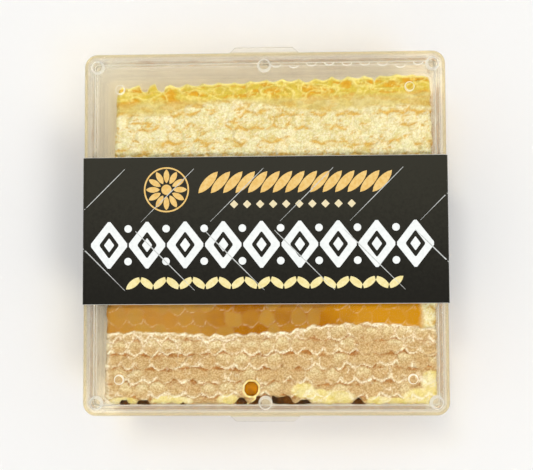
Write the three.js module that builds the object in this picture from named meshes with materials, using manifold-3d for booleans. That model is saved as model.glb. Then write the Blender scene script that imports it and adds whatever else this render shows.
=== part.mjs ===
// A square clear box of cut comb honey, lying flat with its lid up.
//
// Millimetres, +Z up. The origin is the centre of the box's underside, +X runs along the label band
// and +Y across it. There are four closed bodies: the tray, the lid that plugs into it, the slab of
// comb that fills them, and the label band that seals the lid to the tray.

import * as THREE from "three";
import { mergeVertices } from "three/addons/utils/BufferGeometryUtils.js";
import Module from "manifold-3d";

const wasm = await Module();
wasm.setup();

// ---- Box --------------------------------------------------------------------------------------

const BOX_SIDE = 120; // across the rim, each way
const BOX_HEIGHT = 36; // top of the lid above the table
const BOX_CORNER = 4.3; // radius of the four upright corners
const CORNER_STEPS = 6; // straight pieces in each round corner

const TRAY_WALL = 1.8;
const TRAY_FLOOR = 1.8;
const TRAY_DRAFT = 0.5; // how far each wall leans in between rim and floor
const TRAY_FOOT = 1.4; // rounded edge round the underside
const TRAY_FILLET = 1.2; // rounded corner between wall and floor inside

const LID_PLATE = 1.8;
const LID_SEAM = 0.3; // gap between the tray's rim and the plate
const LID_EDGE = 1; // rounded top edge of the plate
const SKIRT_GAP = 0.3; // play between the skirt and the tray's wall
const SKIRT_WALL = 1.2;
const SKIRT_DEPTH = 5.6;
const POST_RADIUS = 1.9; // round posts that stiffen the skirt
const POST_DEPTH = 8;
const POST_INSET = 4.2; // post centres in from the box's sides
const RING_RADIUS = 1.7; // moulding rings under the plate
const RING_WALL = 0.4;
const RING_HEIGHT = 0.3;
const RING_INSET = 11.8;
const TAB_REACH = 1.8; // thumb tabs beyond the box's sides
const TAB_ROOT = 23;
const TAB_TIP = 20;
const TAB_THICK = 1;
const OVERLAP = 0.4; // how far fused pieces run into each other
const ROUND_STEPS = 20; // sides of a post or ring

// ---- Comb -------------------------------------------------------------------------------------

const CELL = 5.4; // between the centres of neighbouring cells
const COLUMNS = 41; // half cells across the slab
const ROWS = 34; // cell sides along the slab
const COMB_TOP = 32.5; // middle height of the cappings
const COMB_CLEAR = 0.3; // the slab's lowest cappings above the tray's floor
const MIDRIB = 17.3; // the wax wall between the two layers of cells
const MIDRIB_HALF = 0.9;

// Corners of the slab, seen from above: cut by hand, so no two sides are parallel.
const FAR_LEFT = new THREE.Vector2(-49.7, 49.7);
const FAR_RIGHT = new THREE.Vector2(55.4, 53.1);
const NEAR_LEFT = new THREE.Vector2(-53.8, -55.9);
const NEAR_RIGHT = new THREE.Vector2(56.2, -56.1);
const SLAB_CORNER = 4;

const CAP_DOME = 0.35; // a dry capping's middle above the cell's corners
const CAP_SINK = 0.2; // an old capping's middle below them
const CAP_UNEVEN = 0.22;
const FOLD_FROM = 42; // smeared, folded wax beyond this Y
const FOLD_HEIGHT = 0.5;
const WET_NEAR = -32.5; // honey has soaked the cappings between these two Y
const WET_FAR = -16;
const WET_RISE = 0.7;
const SLAB_SWELL = 0.35; // slow waves over the whole slab
const EDGE_DROP = 0.5; // rounding of the slab's upper and lower edges
const FLUTE = 0.55; // how deep a cell that the knife opened lies in the cut side
const FLUTE_END = 1.6; // its distance from the cappings

const OPEN_CELL = { x: -4.7, y: -50.9, radius: 2.4, depth: 1.2 };
const TORN_CELLS = { first: -40.2, pitch: CELL, count: 2, y: 50.2, radius: 2 };
const POST_PLAY = 0.35; // the slab keeps this far from the lid's posts

// Bites out of the near side, by their reach along X and their depth. The narrow ones are V-shaped.
const NEAR_BITES = [
  { from: -48.2, to: -45.4, depth: 0.9, flat: 0.6 },
  { from: -42.9, to: -38.2, depth: 1, flat: 0.7 },
  { from: -10.4, to: 15.2, depth: 2.2, flat: 0.9 },
  { from: 27.9, to: 32.9, depth: 2, flat: 0.1 },
];

// ---- Label ------------------------------------------------------------------------------------

const LABEL_WIDTH = 48;
const LABEL_CENTRE = 0.8; // its middle is a little off the box's
const LABEL_THICK = 0.25;
const LABEL_GAP = 0.1; // the glue between the label and the box
const LABEL_FOOT = 3.5; // its ends above the table

// ---- Values that follow -----------------------------------------------------------------------

const HALF = BOX_SIDE / 2;
const PLATE_BOTTOM = BOX_HEIGHT - LID_PLATE;
const RIM = PLATE_BOTTOM - LID_SEAM;
const SKIRT_OUTER = HALF - TRAY_WALL - SKIRT_GAP;
const SKIRT_INNER = SKIRT_OUTER - SKIRT_WALL;
const SLAB_BOTTOM = TRAY_FLOOR + COMB_CLEAR;

/** Half the tray's outer width at a height above the table. */
function trayHalf(z) {
  return HALF - TRAY_DRAFT * (1 - z / RIM);
}

/** A repeatable source of numbers from 0 to 1. */
function seeded(seed) {
  let state = seed;
  return () => {
    state = (state * 1664525 + 1013904223) % 4294967296;
    return state / 4294967296;
  };
}

/** 0 below low, 1 above high, and a smooth rise between them. */
function rise(low, high, value) {
  return THREE.MathUtils.smoothstep(value, low, high);
}

// ---- Meshes and solids ------------------------------------------------------------------------

/** A geometry as a manifold solid, with the vertices that coincide merged. */
function toSolid(geometry) {
  const bare = geometry.clone();
  bare.deleteAttribute("normal");
  bare.deleteAttribute("uv");
  const merged = mergeVertices(bare, 1e-4);
  const mesh = new wasm.Mesh({
    numProp: 3,
    vertProperties: new Float32Array(merged.attributes.position.array),
    triVerts: new Uint32Array(merged.index.array),
  });
  return new wasm.Manifold(mesh);
}

/** A manifold solid as a geometry. */
function toGeometry(solid) {
  const mesh = solid.getMesh();
  return indexed(mesh.vertProperties, mesh.triVerts);
}

/** A geometry from a flat list of coordinates and a list of triangles. */
function indexed(coordinates, triangles) {
  const geometry = new THREE.BufferGeometry();
  geometry.setAttribute("position", new THREE.Float32BufferAttribute(coordinates, 3));
  geometry.setIndex(Array.from(triangles));
  geometry.computeVertexNormals();
  return geometry;
}

/** The largest of a solid's separate pieces. */
function largest(solid) {
  const pieces = solid.decompose();
  pieces.sort((a, b) => b.volume() - a.volume());
  return pieces[0];
}

/** An upright cylinder from one height to another. */
function post(x, y, radius, low, high) {
  const geometry = new THREE.CylinderGeometry(radius, radius, high - low, ROUND_STEPS);
  geometry.rotateX(Math.PI / 2);
  geometry.translate(x, y, (low + high) / 2);
  return toSolid(geometry);
}

/** An upright prism over a flat outline of [x, y] corners. */
function prism(corners, low, high) {
  const shape = new THREE.Shape(corners.map(([x, y]) => new THREE.Vector2(x, y)));
  const geometry = new THREE.ExtrudeGeometry(shape, { depth: high - low, bevelEnabled: false });
  geometry.translate(0, 0, low);
  return toSolid(geometry);
}

/** The corners of a square with round corners, anticlockwise. */
function roundedSquare(half, radius) {
  const points = [];
  for (let corner = 0; corner < 4; corner += 1) {
    const start = (corner * Math.PI) / 2;
    const middle = new THREE.Vector2(half - radius, half - radius);
    middle.rotateAround(new THREE.Vector2(), start);
    for (let step = 0; step <= CORNER_STEPS; step += 1) {
      const angle = start + (step / CORNER_STEPS) * (Math.PI / 2);
      points.push([middle.x + radius * Math.cos(angle), middle.y + radius * Math.sin(angle)]);
    }
  }
  return points;
}

/**
 * A solid of square section with round corners, made of rings of { half, radius, z }. The rings run
 * from the middle of the underside up the outside and over to the other end face.
 */
function squareLoft(rings) {
  const coordinates = [];
  const triangles = [];
  const count = 4 * (CORNER_STEPS + 1);
  for (const ring of rings) {
    for (const [x, y] of roundedSquare(ring.half, ring.radius)) {
      coordinates.push(x, y, ring.z);
    }
  }
  for (let ring = 0; ring + 1 < rings.length; ring += 1) {
    for (let k = 0; k < count; k += 1) {
      const a = ring * count + k;
      const b = ring * count + ((k + 1) % count);
      triangles.push(a, b, b + count, a, b + count, a + count);
    }
  }
  const last = (rings.length - 1) * count;
  for (let k = 1; k + 1 < count; k += 1) {
    triangles.push(0, k + 1, k);
    triangles.push(last, last + k, last + k + 1);
  }
  return indexed(coordinates, triangles);
}

// ---- Tray -------------------------------------------------------------------------------------

/** The open box: four leaning walls, a floor, and rounded edges inside and underneath. */
function trayGeometry() {
  const foot = TRAY_FOOT * (1 - Math.SQRT1_2);
  const fillet = TRAY_FILLET * (1 - Math.SQRT1_2);
  const inner = (z) => trayHalf(z) - TRAY_WALL;
  const innerCorner = BOX_CORNER - TRAY_WALL;
  const filletTop = TRAY_FLOOR + TRAY_FILLET;
  return squareLoft([
    { half: trayHalf(0) - TRAY_FOOT, radius: BOX_CORNER - TRAY_FOOT, z: 0 },
    { half: trayHalf(0) - foot, radius: BOX_CORNER - foot, z: foot },
    { half: trayHalf(TRAY_FOOT), radius: BOX_CORNER, z: TRAY_FOOT },
    { half: trayHalf(RIM), radius: BOX_CORNER, z: RIM },
    { half: inner(RIM), radius: innerCorner, z: RIM },
    { half: inner(filletTop), radius: innerCorner, z: filletTop },
    { half: inner(TRAY_FLOOR) - fillet, radius: innerCorner - fillet, z: TRAY_FLOOR + fillet },
    { half: inner(TRAY_FLOOR) - TRAY_FILLET, radius: innerCorner - TRAY_FILLET, z: TRAY_FLOOR },
  ]);
}

// ---- Lid --------------------------------------------------------------------------------------

/** The plate with its rounded top edge and the skirt that plugs into the tray. */
function lidShell() {
  const edge = LID_EDGE * (1 - Math.SQRT1_2);
  const skirtCorner = BOX_CORNER - TRAY_WALL - SKIRT_GAP;
  const skirtBottom = PLATE_BOTTOM - SKIRT_DEPTH;
  return toSolid(squareLoft([
    { half: SKIRT_INNER, radius: skirtCorner - SKIRT_WALL, z: PLATE_BOTTOM },
    { half: SKIRT_INNER, radius: skirtCorner - SKIRT_WALL, z: skirtBottom },
    { half: SKIRT_OUTER, radius: skirtCorner, z: skirtBottom },
    { half: SKIRT_OUTER, radius: skirtCorner, z: PLATE_BOTTOM },
    { half: HALF, radius: BOX_CORNER, z: PLATE_BOTTOM },
    { half: HALF, radius: BOX_CORNER, z: BOX_HEIGHT - LID_EDGE },
    { half: HALF - edge, radius: BOX_CORNER - edge, z: BOX_HEIGHT - edge },
    { half: HALF - LID_EDGE, radius: BOX_CORNER - LID_EDGE, z: BOX_HEIGHT },
  ]));
}

/** Where the posts stand: in the four corners and at the middle of the near and far sides. */
function postPlaces() {
  const out = HALF - POST_INSET;
  return [[-out, -out], [out, -out], [-out, out], [out, out], [0, -out], [0, out]];
}

/** A thumb tab on the far side (side 1) or the near side (side -1), flat with the plate's underside. */
function tab(side) {
  const root = side * (HALF - LID_EDGE - OVERLAP);
  const tip = side * (HALF + TAB_REACH);
  const corners = [
    [-side * TAB_ROOT / 2, root],
    [side * TAB_ROOT / 2, root],
    [side * TAB_ROOT / 2, side * HALF],
    [side * TAB_TIP / 2, tip],
    [-side * TAB_TIP / 2, tip],
    [-side * TAB_ROOT / 2, side * HALF],
  ];
  return prism(corners, PLATE_BOTTOM, PLATE_BOTTOM + TAB_THICK);
}

/** A low round ring under the plate, left by the mould. */
function mouldRing(x, y) {
  const low = PLATE_BOTTOM - RING_HEIGHT;
  const outer = post(x, y, RING_RADIUS, low, PLATE_BOTTOM + OVERLAP);
  const inner = post(x, y, RING_RADIUS - RING_WALL, low - OVERLAP, PLATE_BOTTOM);
  return outer.subtract(inner);
}

/** The whole lid, as one body. */
function lidGeometry() {
  let lid = lidShell();
  for (const [x, y] of postPlaces()) {
    lid = lid.add(post(x, y, POST_RADIUS, PLATE_BOTTOM - POST_DEPTH, PLATE_BOTTOM + OVERLAP));
  }
  for (const side of [-1, 1]) {
    lid = lid.add(tab(side));
    for (const end of [-1, 1]) {
      lid = lid.add(mouldRing(end * (HALF - RING_INSET), side * (HALF - RING_INSET)));
    }
  }
  return toGeometry(lid);
}

// ---- Comb -------------------------------------------------------------------------------------

/** Whether a point of the cell net is the middle of a cell. The lower layer's cells are shifted. */
function isCellMiddle(column, row, layerShift) {
  const phase = column % 2 === 0 ? 0 : 1;
  return (row + layerShift) % 3 === phase;
}

/** Whether a point of the cell net is on the slab's outline. */
function isOutline(column, row) {
  return column === 0 || column === COLUMNS || row === 0 || row === ROWS;
}

/** Pulls a point that is near a corner of the unit square in, so that the corner is round. */
function roundCorner(along, across, size) {
  const reach = (value) => Math.max(0, Math.abs(value - 0.5) - (0.5 - size)) / size;
  const a = reach(along);
  const b = reach(across);
  if (a === 0 || b === 0) {
    return [along, across];
  }
  const pulled = (value, own, other) => (
    0.5 + Math.sign(value - 0.5) * (0.5 - size + size * own * Math.sqrt(1 - (other * other) / 2))
  );
  return [pulled(along, a, b), pulled(across, b, a)];
}

/** Where a point of the cell net lies, seen from above. */
function netPoint(column, row) {
  const shifted = column % 2 === 1;
  let step = row + (shifted ? 0.5 : 0);
  if (shifted && row === 0) {
    step -= 0.25;
  }
  if (!shifted && row === ROWS) {
    step += 0.25;
  }
  const size = SLAB_CORNER / (COLUMNS * CELL * 0.5);
  const [along, across] = roundCorner(column / COLUMNS, step / (ROWS + 0.5), size);
  const near = NEAR_LEFT.clone().lerp(NEAR_RIGHT, along);
  const far = FAR_LEFT.clone().lerp(FAR_RIGHT, along);
  return near.lerp(far, across);
}

/** How high the upper cappings are at a point: domed when dry, raised when wet, sunk when old. */
function upperHeight(place, middle, random) {
  const { x, y } = place;
  const dry = rise(WET_NEAR, WET_NEAR + CELL, y);
  const wet = dry * (1 - rise(WET_FAR, WET_FAR + CELL, y));
  const folded = rise(FOLD_FROM - CELL / 2, FOLD_FROM + CELL / 2, y);
  const domed = middle ? CAP_DOME : -CAP_DOME / 2;
  const sunk = middle ? -CAP_SINK : CAP_SINK;
  const relief = (dry * (1 - wet) * domed + (1 - dry) * sunk) * (1 - folded);
  const fold = folded * FOLD_HEIGHT * Math.sin(x / 2.1 + 3 * Math.sin(y / 3.4));
  const swell = SLAB_SWELL * Math.sin(x / 17 + 0.6) * Math.cos(y / 21 - 0.3);
  return COMB_TOP + relief + fold + wet * WET_RISE + swell * (1 - wet) + CAP_UNEVEN * (random() - 0.5);
}

/** How high the lower cappings are at a point. Their middles hang lowest. */
function lowerHeight(middle, random) {
  const lift = middle ? 0 : CAP_DOME;
  return SLAB_BOTTOM + lift + CAP_UNEVEN * random();
}

/** The outline's points in order, anticlockwise from above, with the way out of each. */
function outline() {
  const points = [];
  const add = (column, row, outX, outY) => points.push({ column, row, outX, outY });
  for (let column = 0; column < COLUMNS; column += 1) {
    add(column, 0, 0, -1);
  }
  for (let row = 0; row < ROWS; row += 1) {
    add(COLUMNS, row, 1, 0);
  }
  for (let column = COLUMNS; column > 0; column -= 1) {
    add(column, ROWS, 0, 1);
  }
  for (let row = ROWS; row > 0; row -= 1) {
    add(0, row, -1, 0);
  }
  return points;
}

/** The triangles between two neighbouring columns of one face of the slab, facing up. */
function stripTriangles(column, first) {
  const triangles = [];
  for (let row = 0; row < ROWS; row += 1) {
    const a = first + column * (ROWS + 1) + row;
    const b = a + ROWS + 1;
    if (column % 2 === 0) {
      triangles.push([a, b, a + 1], [b, b + 1, a + 1]);
    } else {
      triangles.push([a, b, b + 1], [a, b + 1, a + 1]);
    }
  }
  return triangles;
}

/** The uncut slab: two faces of cappings, and sides where the knife has opened the cells. */
function slabSolid() {
  const random = seeded(7);
  const coordinates = [];
  const triangles = [];
  const faceCount = (COLUMNS + 1) * (ROWS + 1);
  for (const upper of [true, false]) {
    for (let column = 0; column <= COLUMNS; column += 1) {
      for (let row = 0; row <= ROWS; row += 1) {
        const place = netPoint(column, row);
        const middle = isCellMiddle(column, row, upper ? 0 : 1);
        const height = upper ? upperHeight(place, middle, random) : lowerHeight(middle, random);
        const drop = isOutline(column, row) ? EDGE_DROP : 0;
        coordinates.push(place.x, place.y, height + (upper ? -drop : drop));
      }
    }
  }
  for (let column = 0; column < COLUMNS; column += 1) {
    for (const [a, b, c] of stripTriangles(column, 0)) {
      triangles.push(a, b, c);
    }
    for (const [a, b, c] of stripTriangles(column, faceCount)) {
      triangles.push(a, c, b);
    }
  }
  addSides(coordinates, triangles, faceCount);
  return toSolid(indexed(coordinates, triangles));
}

/** The slab's sides: rings of points down the outline, drawn in where a cell was cut open. */
function addSides(coordinates, triangles, faceCount) {
  const edge = outline();
  const levels = [
    { z: COMB_TOP - FLUTE_END, flute: 1, layer: 0 },
    { z: MIDRIB + MIDRIB_HALF, flute: 1, layer: 0 },
    { z: MIDRIB, flute: 0, layer: 0 },
    { z: MIDRIB - MIDRIB_HALF, flute: 1, layer: 1 },
    { z: SLAB_BOTTOM + FLUTE_END, flute: 1, layer: 1 },
  ];
  const upperRing = edge.map(({ column, row }) => column * (ROWS + 1) + row);
  const rings = [upperRing];
  for (const { z, flute, layer } of levels) {
    const ring = edge.map(({ column, row, outX, outY }) => {
      const place = netPoint(column, row);
      const opened = isCellMiddle(column, row, layer) ? 1 : 0.25;
      const inward = FLUTE * flute * opened;
      coordinates.push(place.x - outX * inward, place.y - outY * inward, z);
      return coordinates.length / 3 - 1;
    });
    rings.push(ring);
  }
  rings.push(upperRing.map((index) => index + faceCount));
  for (let level = 0; level + 1 < rings.length; level += 1) {
    const above = rings[level];
    const below = rings[level + 1];
    for (let k = 0; k < edge.length; k += 1) {
      const next = (k + 1) % edge.length;
      triangles.push(below[k], below[next], above[next], below[k], above[next], above[k]);
    }
  }
}

/** A bite out of the near side, right through the slab. */
function nearBite({ from, to, depth, flat }) {
  const inset = ((to - from) * (1 - flat)) / 2;
  const low = NEAR_RIGHT.y - CELL;
  const face = NEAR_RIGHT.y;
  const deep = face + depth;
  const corners = [[from, low], [to, low], [to, face], [to - inset, deep], [from + inset, deep], [from, face]];
  return prism(corners, 0, BOX_HEIGHT);
}

/** A cell torn open at the far side, as a six-sided hole right through the slab. */
function tornCell(index) {
  const { first, pitch, y, radius } = TORN_CELLS;
  const corners = [];
  for (let k = 0; k < 6; k += 1) {
    const angle = Math.PI / 6 + (k * Math.PI) / 3;
    corners.push([first + index * pitch + radius * Math.cos(angle), y + radius * Math.sin(angle)]);
  }
  return prism(corners, 0, BOX_HEIGHT);
}

/** The slab of comb, as one body, with its bites, its torn cells and its one uncapped cell. */
function combGeometry() {
  let comb = slabSolid();
  for (const bite of NEAR_BITES) {
    comb = comb.subtract(nearBite(bite));
  }
  for (let index = 0; index < TORN_CELLS.count; index += 1) {
    comb = comb.subtract(tornCell(index));
  }
  for (const [x, y] of postPlaces()) {
    comb = comb.subtract(post(x, y, POST_RADIUS + POST_PLAY, 0, BOX_HEIGHT));
  }
  const { x, y, radius, depth } = OPEN_CELL;
  comb = comb.subtract(post(x, y, radius, COMB_TOP - depth, BOX_HEIGHT));
  return toGeometry(largest(comb));
}

// ---- Label ------------------------------------------------------------------------------------

/** One side of the band's section, this far out from the box's skin, from its left to its right foot. */
function bandLine(out) {
  const bend = LID_EDGE + out;
  const middleX = HALF - LID_EDGE;
  const middleZ = BOX_HEIGHT - LID_EDGE;
  const line = new THREE.Path();
  line.moveTo(-trayHalf(LABEL_FOOT) - out, LABEL_FOOT);
  line.lineTo(-HALF - out, RIM);
  line.absarc(-middleX, middleZ, bend, Math.PI, Math.PI / 2, true);
  line.absarc(middleX, middleZ, bend, Math.PI / 2, 0, true);
  line.lineTo(HALF + out, RIM);
  line.lineTo(trayHalf(LABEL_FOOT) + out, LABEL_FOOT);
  return line.getPoints(CORNER_STEPS);
}

/** The label: one band over the lid and down both sides. */
function labelGeometry() {
  const outer = bandLine(LABEL_GAP + LABEL_THICK);
  const inner = bandLine(LABEL_GAP);
  const section = new THREE.Shape([...outer, ...inner.reverse()]);
  const geometry = new THREE.ExtrudeGeometry(section, { depth: LABEL_WIDTH, bevelEnabled: false });
  geometry.rotateX(Math.PI / 2);
  geometry.translate(0, LABEL_CENTRE + LABEL_WIDTH / 2, 0);
  return geometry;
}

// ---- Finishes ---------------------------------------------------------------------------------

/** Clear polystyrene with a faint warm tint. */
function clearPlastic() {
  return new THREE.MeshStandardMaterial({
    color: 0xe8dfc8,
    roughness: 0.08,
    metalness: 0,
    transparent: true,
    opacity: 0.3,
  });
}

/** Pale yellow wax over honey. */
function combWax() {
  return new THREE.MeshStandardMaterial({
    color: 0xe6cd8c,
    roughness: 0.55,
    metalness: 0,
    flatShading: true,
  });
}

/** Satin black label paper. */
function blackPaper() {
  return new THREE.MeshStandardMaterial({ color: 0x2b2a26, roughness: 0.5, metalness: 0 });
}

/** A named mesh. */
function piece(name, geometry, material) {
  const mesh = new THREE.Mesh(geometry, material);
  mesh.name = name;
  return mesh;
}

const box = new THREE.Group();
box.add(piece("tray", trayGeometry(), clearPlastic()));
box.add(piece("comb", combGeometry(), combWax()));
box.add(piece("lid", lidGeometry(), clearPlastic()));
box.add(piece("label_band", labelGeometry(), blackPaper()));

export default box;
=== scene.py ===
"""The looks of a square clear box of cut comb honey, shut, with a black label band over its lid.

Lengths are in millimetres while a piece is worked out, and turn into metres where its mesh is made.
"""

import logging
import math
from collections.abc import Sequence
from dataclasses import dataclass, field
from enum import Enum
from typing import Any

import bpy
import numpy as np
from mathutils import Euler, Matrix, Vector


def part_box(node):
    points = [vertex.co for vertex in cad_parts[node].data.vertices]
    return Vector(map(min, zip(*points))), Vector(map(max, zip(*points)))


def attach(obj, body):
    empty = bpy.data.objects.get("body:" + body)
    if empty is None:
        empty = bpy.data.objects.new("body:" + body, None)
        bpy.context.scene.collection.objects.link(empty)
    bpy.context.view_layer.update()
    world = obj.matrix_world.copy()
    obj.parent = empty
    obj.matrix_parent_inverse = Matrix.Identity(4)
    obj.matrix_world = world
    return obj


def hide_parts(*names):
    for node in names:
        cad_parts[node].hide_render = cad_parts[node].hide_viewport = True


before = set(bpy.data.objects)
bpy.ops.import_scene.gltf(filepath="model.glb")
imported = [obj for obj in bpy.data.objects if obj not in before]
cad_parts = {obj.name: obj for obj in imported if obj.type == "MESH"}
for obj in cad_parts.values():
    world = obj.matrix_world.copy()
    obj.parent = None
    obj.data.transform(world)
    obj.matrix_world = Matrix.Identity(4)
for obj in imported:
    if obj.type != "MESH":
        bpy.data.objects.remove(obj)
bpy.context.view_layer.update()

log = logging.getLogger("comb_box")

MM = 0.001
BODY = "root"

TURN = 2.0 * math.pi
WAVES = 4
WAVE_GROWTH = 1.9
WAVE_SUM = 2.4
CELL_PITCH = 5.4
WAX_IOR = 1.44
TINY = 1e-9
TOUCH = 0.02

Points = np.ndarray
Faces = Sequence[Sequence[int]]
Spot = tuple[float, float]
Place = tuple[float, float, float]


# ---- Small sums ----


def rise(low: float, high: float, value: Any) -> Any:
    """Rises smoothly from 0 at low to 1 at high, for a number or an array."""
    share = np.clip((np.asarray(value, float) - low) / (high - low), 0.0, 1.0)
    return share * share * (3.0 - 2.0 * share)


def colour(code: str) -> tuple[float, float, float, float]:
    """Turns a screen colour into the linear numbers that a shader takes.

    Args:
        code: The colour, such as "#e5cb77".

    Returns:
        Red, green, blue and 1.
    """
    shares = [int(code[k : k + 2], 16) / 255.0 for k in (1, 3, 5)]
    linear = [s / 12.92 if s <= 0.04045 else ((s + 0.055) / 1.055) ** 2.4 for s in shares]
    return (linear[0], linear[1], linear[2], 1.0)


def wander(along: Points, seed: int, reach: float, shortest: float) -> Points:
    """A line that strays from side to side, the same way each time.

    Args:
        along: Places along the line, in millimetres.
        seed: Chooses the line.
        reach: About how far it strays.
        shortest: Its shortest wave.

    Returns:
        How far it has strayed at each place.
    """
    draw = np.random.default_rng(seed)
    strayed = np.zeros_like(along, dtype=float)
    for octave in range(WAVES):
        length = shortest * WAVE_GROWTH**octave
        turn, share = draw.uniform(0.0, TURN), draw.uniform(0.6, 1.0)
        strayed += share * np.sin(TURN * along / length + turn)
    return reach * strayed / WAVE_SUM


def round_turns(steps: int) -> Points:
    """The angles of even steps round a circle."""
    return np.arange(steps) * TURN / steps


def circle(radius: float, steps: int = 32) -> list[Spot]:
    """The outline of a circle, anticlockwise."""
    return [(radius * math.cos(a), radius * math.sin(a)) for a in round_turns(steps)]


def shifted(line: Sequence[Spot], by: Spot) -> list[Spot]:
    """A flat line, moved."""
    return [(x + by[0], y + by[1]) for x, y in line]


# ---- Node trees as arithmetic ----


class Flow:
    """A value on its way through a node tree. Arithmetic on it adds the nodes that do the sum."""

    def __init__(self, graph: "Graph", socket: bpy.types.NodeSocket, is_vector: bool = False) -> None:
        """Keeps where the value comes from.

        Args:
            graph: The tree.
            socket: The socket that the value leaves.
            is_vector: Whether sums on it are vector sums.
        """
        self.graph = graph
        self.socket = socket
        self.is_vector = is_vector

    def _sum(self, operation: str, first: Any, second: Any) -> "Flow":
        """One operation on two values, of which one may be a plain number or tuple.

        Args:
            operation: Blender's name for it.
            first: The value on the left.
            second: The value on the right.

        Returns:
            The result: a vector where either value is one.
        """
        vectors = [isinstance(v, tuple) or (isinstance(v, Flow) and v.is_vector) for v in (first, second)]
        add_node = self.graph.vector if any(vectors) else self.graph.math
        return add_node(operation, first, second)

    def __add__(self, other: Any) -> "Flow":
        """The sum."""
        return self._sum("ADD", self, other)

    def __radd__(self, other: Any) -> "Flow":
        """The sum."""
        return self._sum("ADD", other, self)

    def __sub__(self, other: Any) -> "Flow":
        """The difference."""
        return self._sum("SUBTRACT", self, other)

    def __rsub__(self, other: Any) -> "Flow":
        """The difference, the other way round."""
        return self._sum("SUBTRACT", other, self)

    def __mul__(self, other: Any) -> "Flow":
        """The product."""
        return self._sum("MULTIPLY", self, other)

    def __rmul__(self, other: Any) -> "Flow":
        """The product."""
        return self._sum("MULTIPLY", other, self)

    def __truediv__(self, other: Any) -> "Flow":
        """The quotient."""
        return self._sum("DIVIDE", self, other)

    def abs(self) -> "Flow":
        """The size without its sign."""
        return self.graph.math("ABSOLUTE", self)

    def least(self, other: Any) -> "Flow":
        """The smaller of two numbers."""
        return self.graph.math("MINIMUM", self, other)

    def most(self, other: Any) -> "Flow":
        """The larger of two numbers."""
        return self.graph.math("MAXIMUM", self, other)

    def rise(self, low: Any, high: Any, start: float = 0.0, end: float = 1.0) -> "Flow":
        """A smooth rise from start, below low, to end, above high."""
        inputs = dict(enumerate((self, low, high, start, end)))
        return self.graph.value("ShaderNodeMapRange", inputs, interpolation_type="SMOOTHSTEP")

    def hump(self, width: float) -> "Flow":
        """1 where the value is 0, fading to 0 at about twice the width on either side."""
        share = self / width
        return self.graph.math("EXPONENT", share * share * -1.0)

    def toward(self, other: Any, share: Any) -> "Flow":
        """This value turning into another, as share goes from 0 to 1."""
        return self * (1.0 - share) + other * share

    def parts(self) -> tuple["Flow", "Flow", "Flow"]:
        """The X, Y and Z of a vector."""
        node = self.graph.node("ShaderNodeSeparateXYZ", {0: self})
        return tuple(Flow(self.graph, socket) for socket in node.outputs)


class Graph:
    """Adds nodes to a shader or Geometry Nodes tree, and links them."""

    def __init__(self, tree: bpy.types.NodeTree) -> None:
        """Keeps the tree."""
        self.tree = tree

    def node(self, kind: str, inputs: dict[Any, Any] | None = None, **settings: Any) -> bpy.types.Node:
        """Adds one node.

        Args:
            kind: Blender's name for the node's type.
            inputs: What goes into each input, by its place or name.
            settings: The node's own properties.

        Returns:
            The node.
        """
        node = self.tree.nodes.new(kind)
        for name, value in settings.items():
            setattr(node, name, value)
        for key, value in (inputs or {}).items():
            self.feed(node.inputs[key], value)
        return node

    def feed(self, socket: bpy.types.NodeSocket, value: Any) -> None:
        """Gives an input its value.

        Args:
            socket: The input.
            value: A flow or a socket to link, or a plain value to set, such as a colour's code.
        """
        if isinstance(value, Flow):
            value = value.socket
        if isinstance(value, bpy.types.NodeSocket):
            self.tree.links.new(value, socket)
        elif socket.type == "RGBA" and isinstance(value, str):
            socket.default_value = colour(value)
        elif socket.type == "VECTOR" and isinstance(value, (int, float)):
            socket.default_value = (value, value, value)
        else:
            socket.default_value = value

    def value(
        self, kind: str, inputs: Any = None, out: int = 0, is_vector: bool = False, **settings: Any
    ) -> Flow:
        """Adds a node and takes one of its results."""
        return Flow(self, self.node(kind, inputs, **settings).outputs[out], is_vector)

    def math(self, operation: str, *values: Any) -> Flow:
        """One Math node."""
        return self.value("ShaderNodeMath", dict(enumerate(values)), operation=operation)

    def vector(self, operation: str, *values: Any) -> Flow:
        """Adds a Vector Math node.

        Args:
            operation: What it works out.
            values: Its inputs in order.

        Returns:
            A number for a length, and otherwise a vector.
        """
        is_number = operation == "LENGTH"
        inputs = dict(enumerate(values))
        return self.value("ShaderNodeVectorMath", inputs, int(is_number), not is_number, operation=operation)

    def noise(
        self, place: Flow, scale: float, detail: float = 2.0, roughness: float = 0.5, out: int = 0
    ) -> Flow:
        """Smooth noise from 0 to 1, with this many lumps to the unit, as a number (0) or a vector (1)."""
        inputs = {"Vector": place, "Scale": scale, "Detail": detail, "Roughness": roughness}
        return self.value("ShaderNodeTexNoise", inputs, out, is_vector=out == 1)

    def stray(self, place: Flow, scale: float, detail: float = 1.0) -> Flow:
        """A noise vector whose parts run from about -0.5 to 0.5."""
        return self.noise(place, scale, detail, out=1) - (0.5, 0.5, 0.5)

    def blend(self, share: Any, first: Any, second: Any) -> Flow:
        """One colour turning into another, as share goes from 0 to 1."""
        return self.value("ShaderNodeMix", {0: share, 6: first, 7: second}, 2, data_type="RGBA")

    def combine(self, x: Any = 0.0, y: Any = 0.0, z: Any = 0.0) -> Flow:
        """A vector of three numbers."""
        return self.value("ShaderNodeCombineXYZ", {0: x, 1: y, 2: z}, is_vector=True)

    def choose(self, share: Any, first: Flow, second: Flow) -> Flow:
        """One vector turning into another, as share goes from 0 to 1."""
        return self.value("ShaderNodeMix", {0: share, 4: first, 5: second}, 1, True, data_type="VECTOR")


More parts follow.
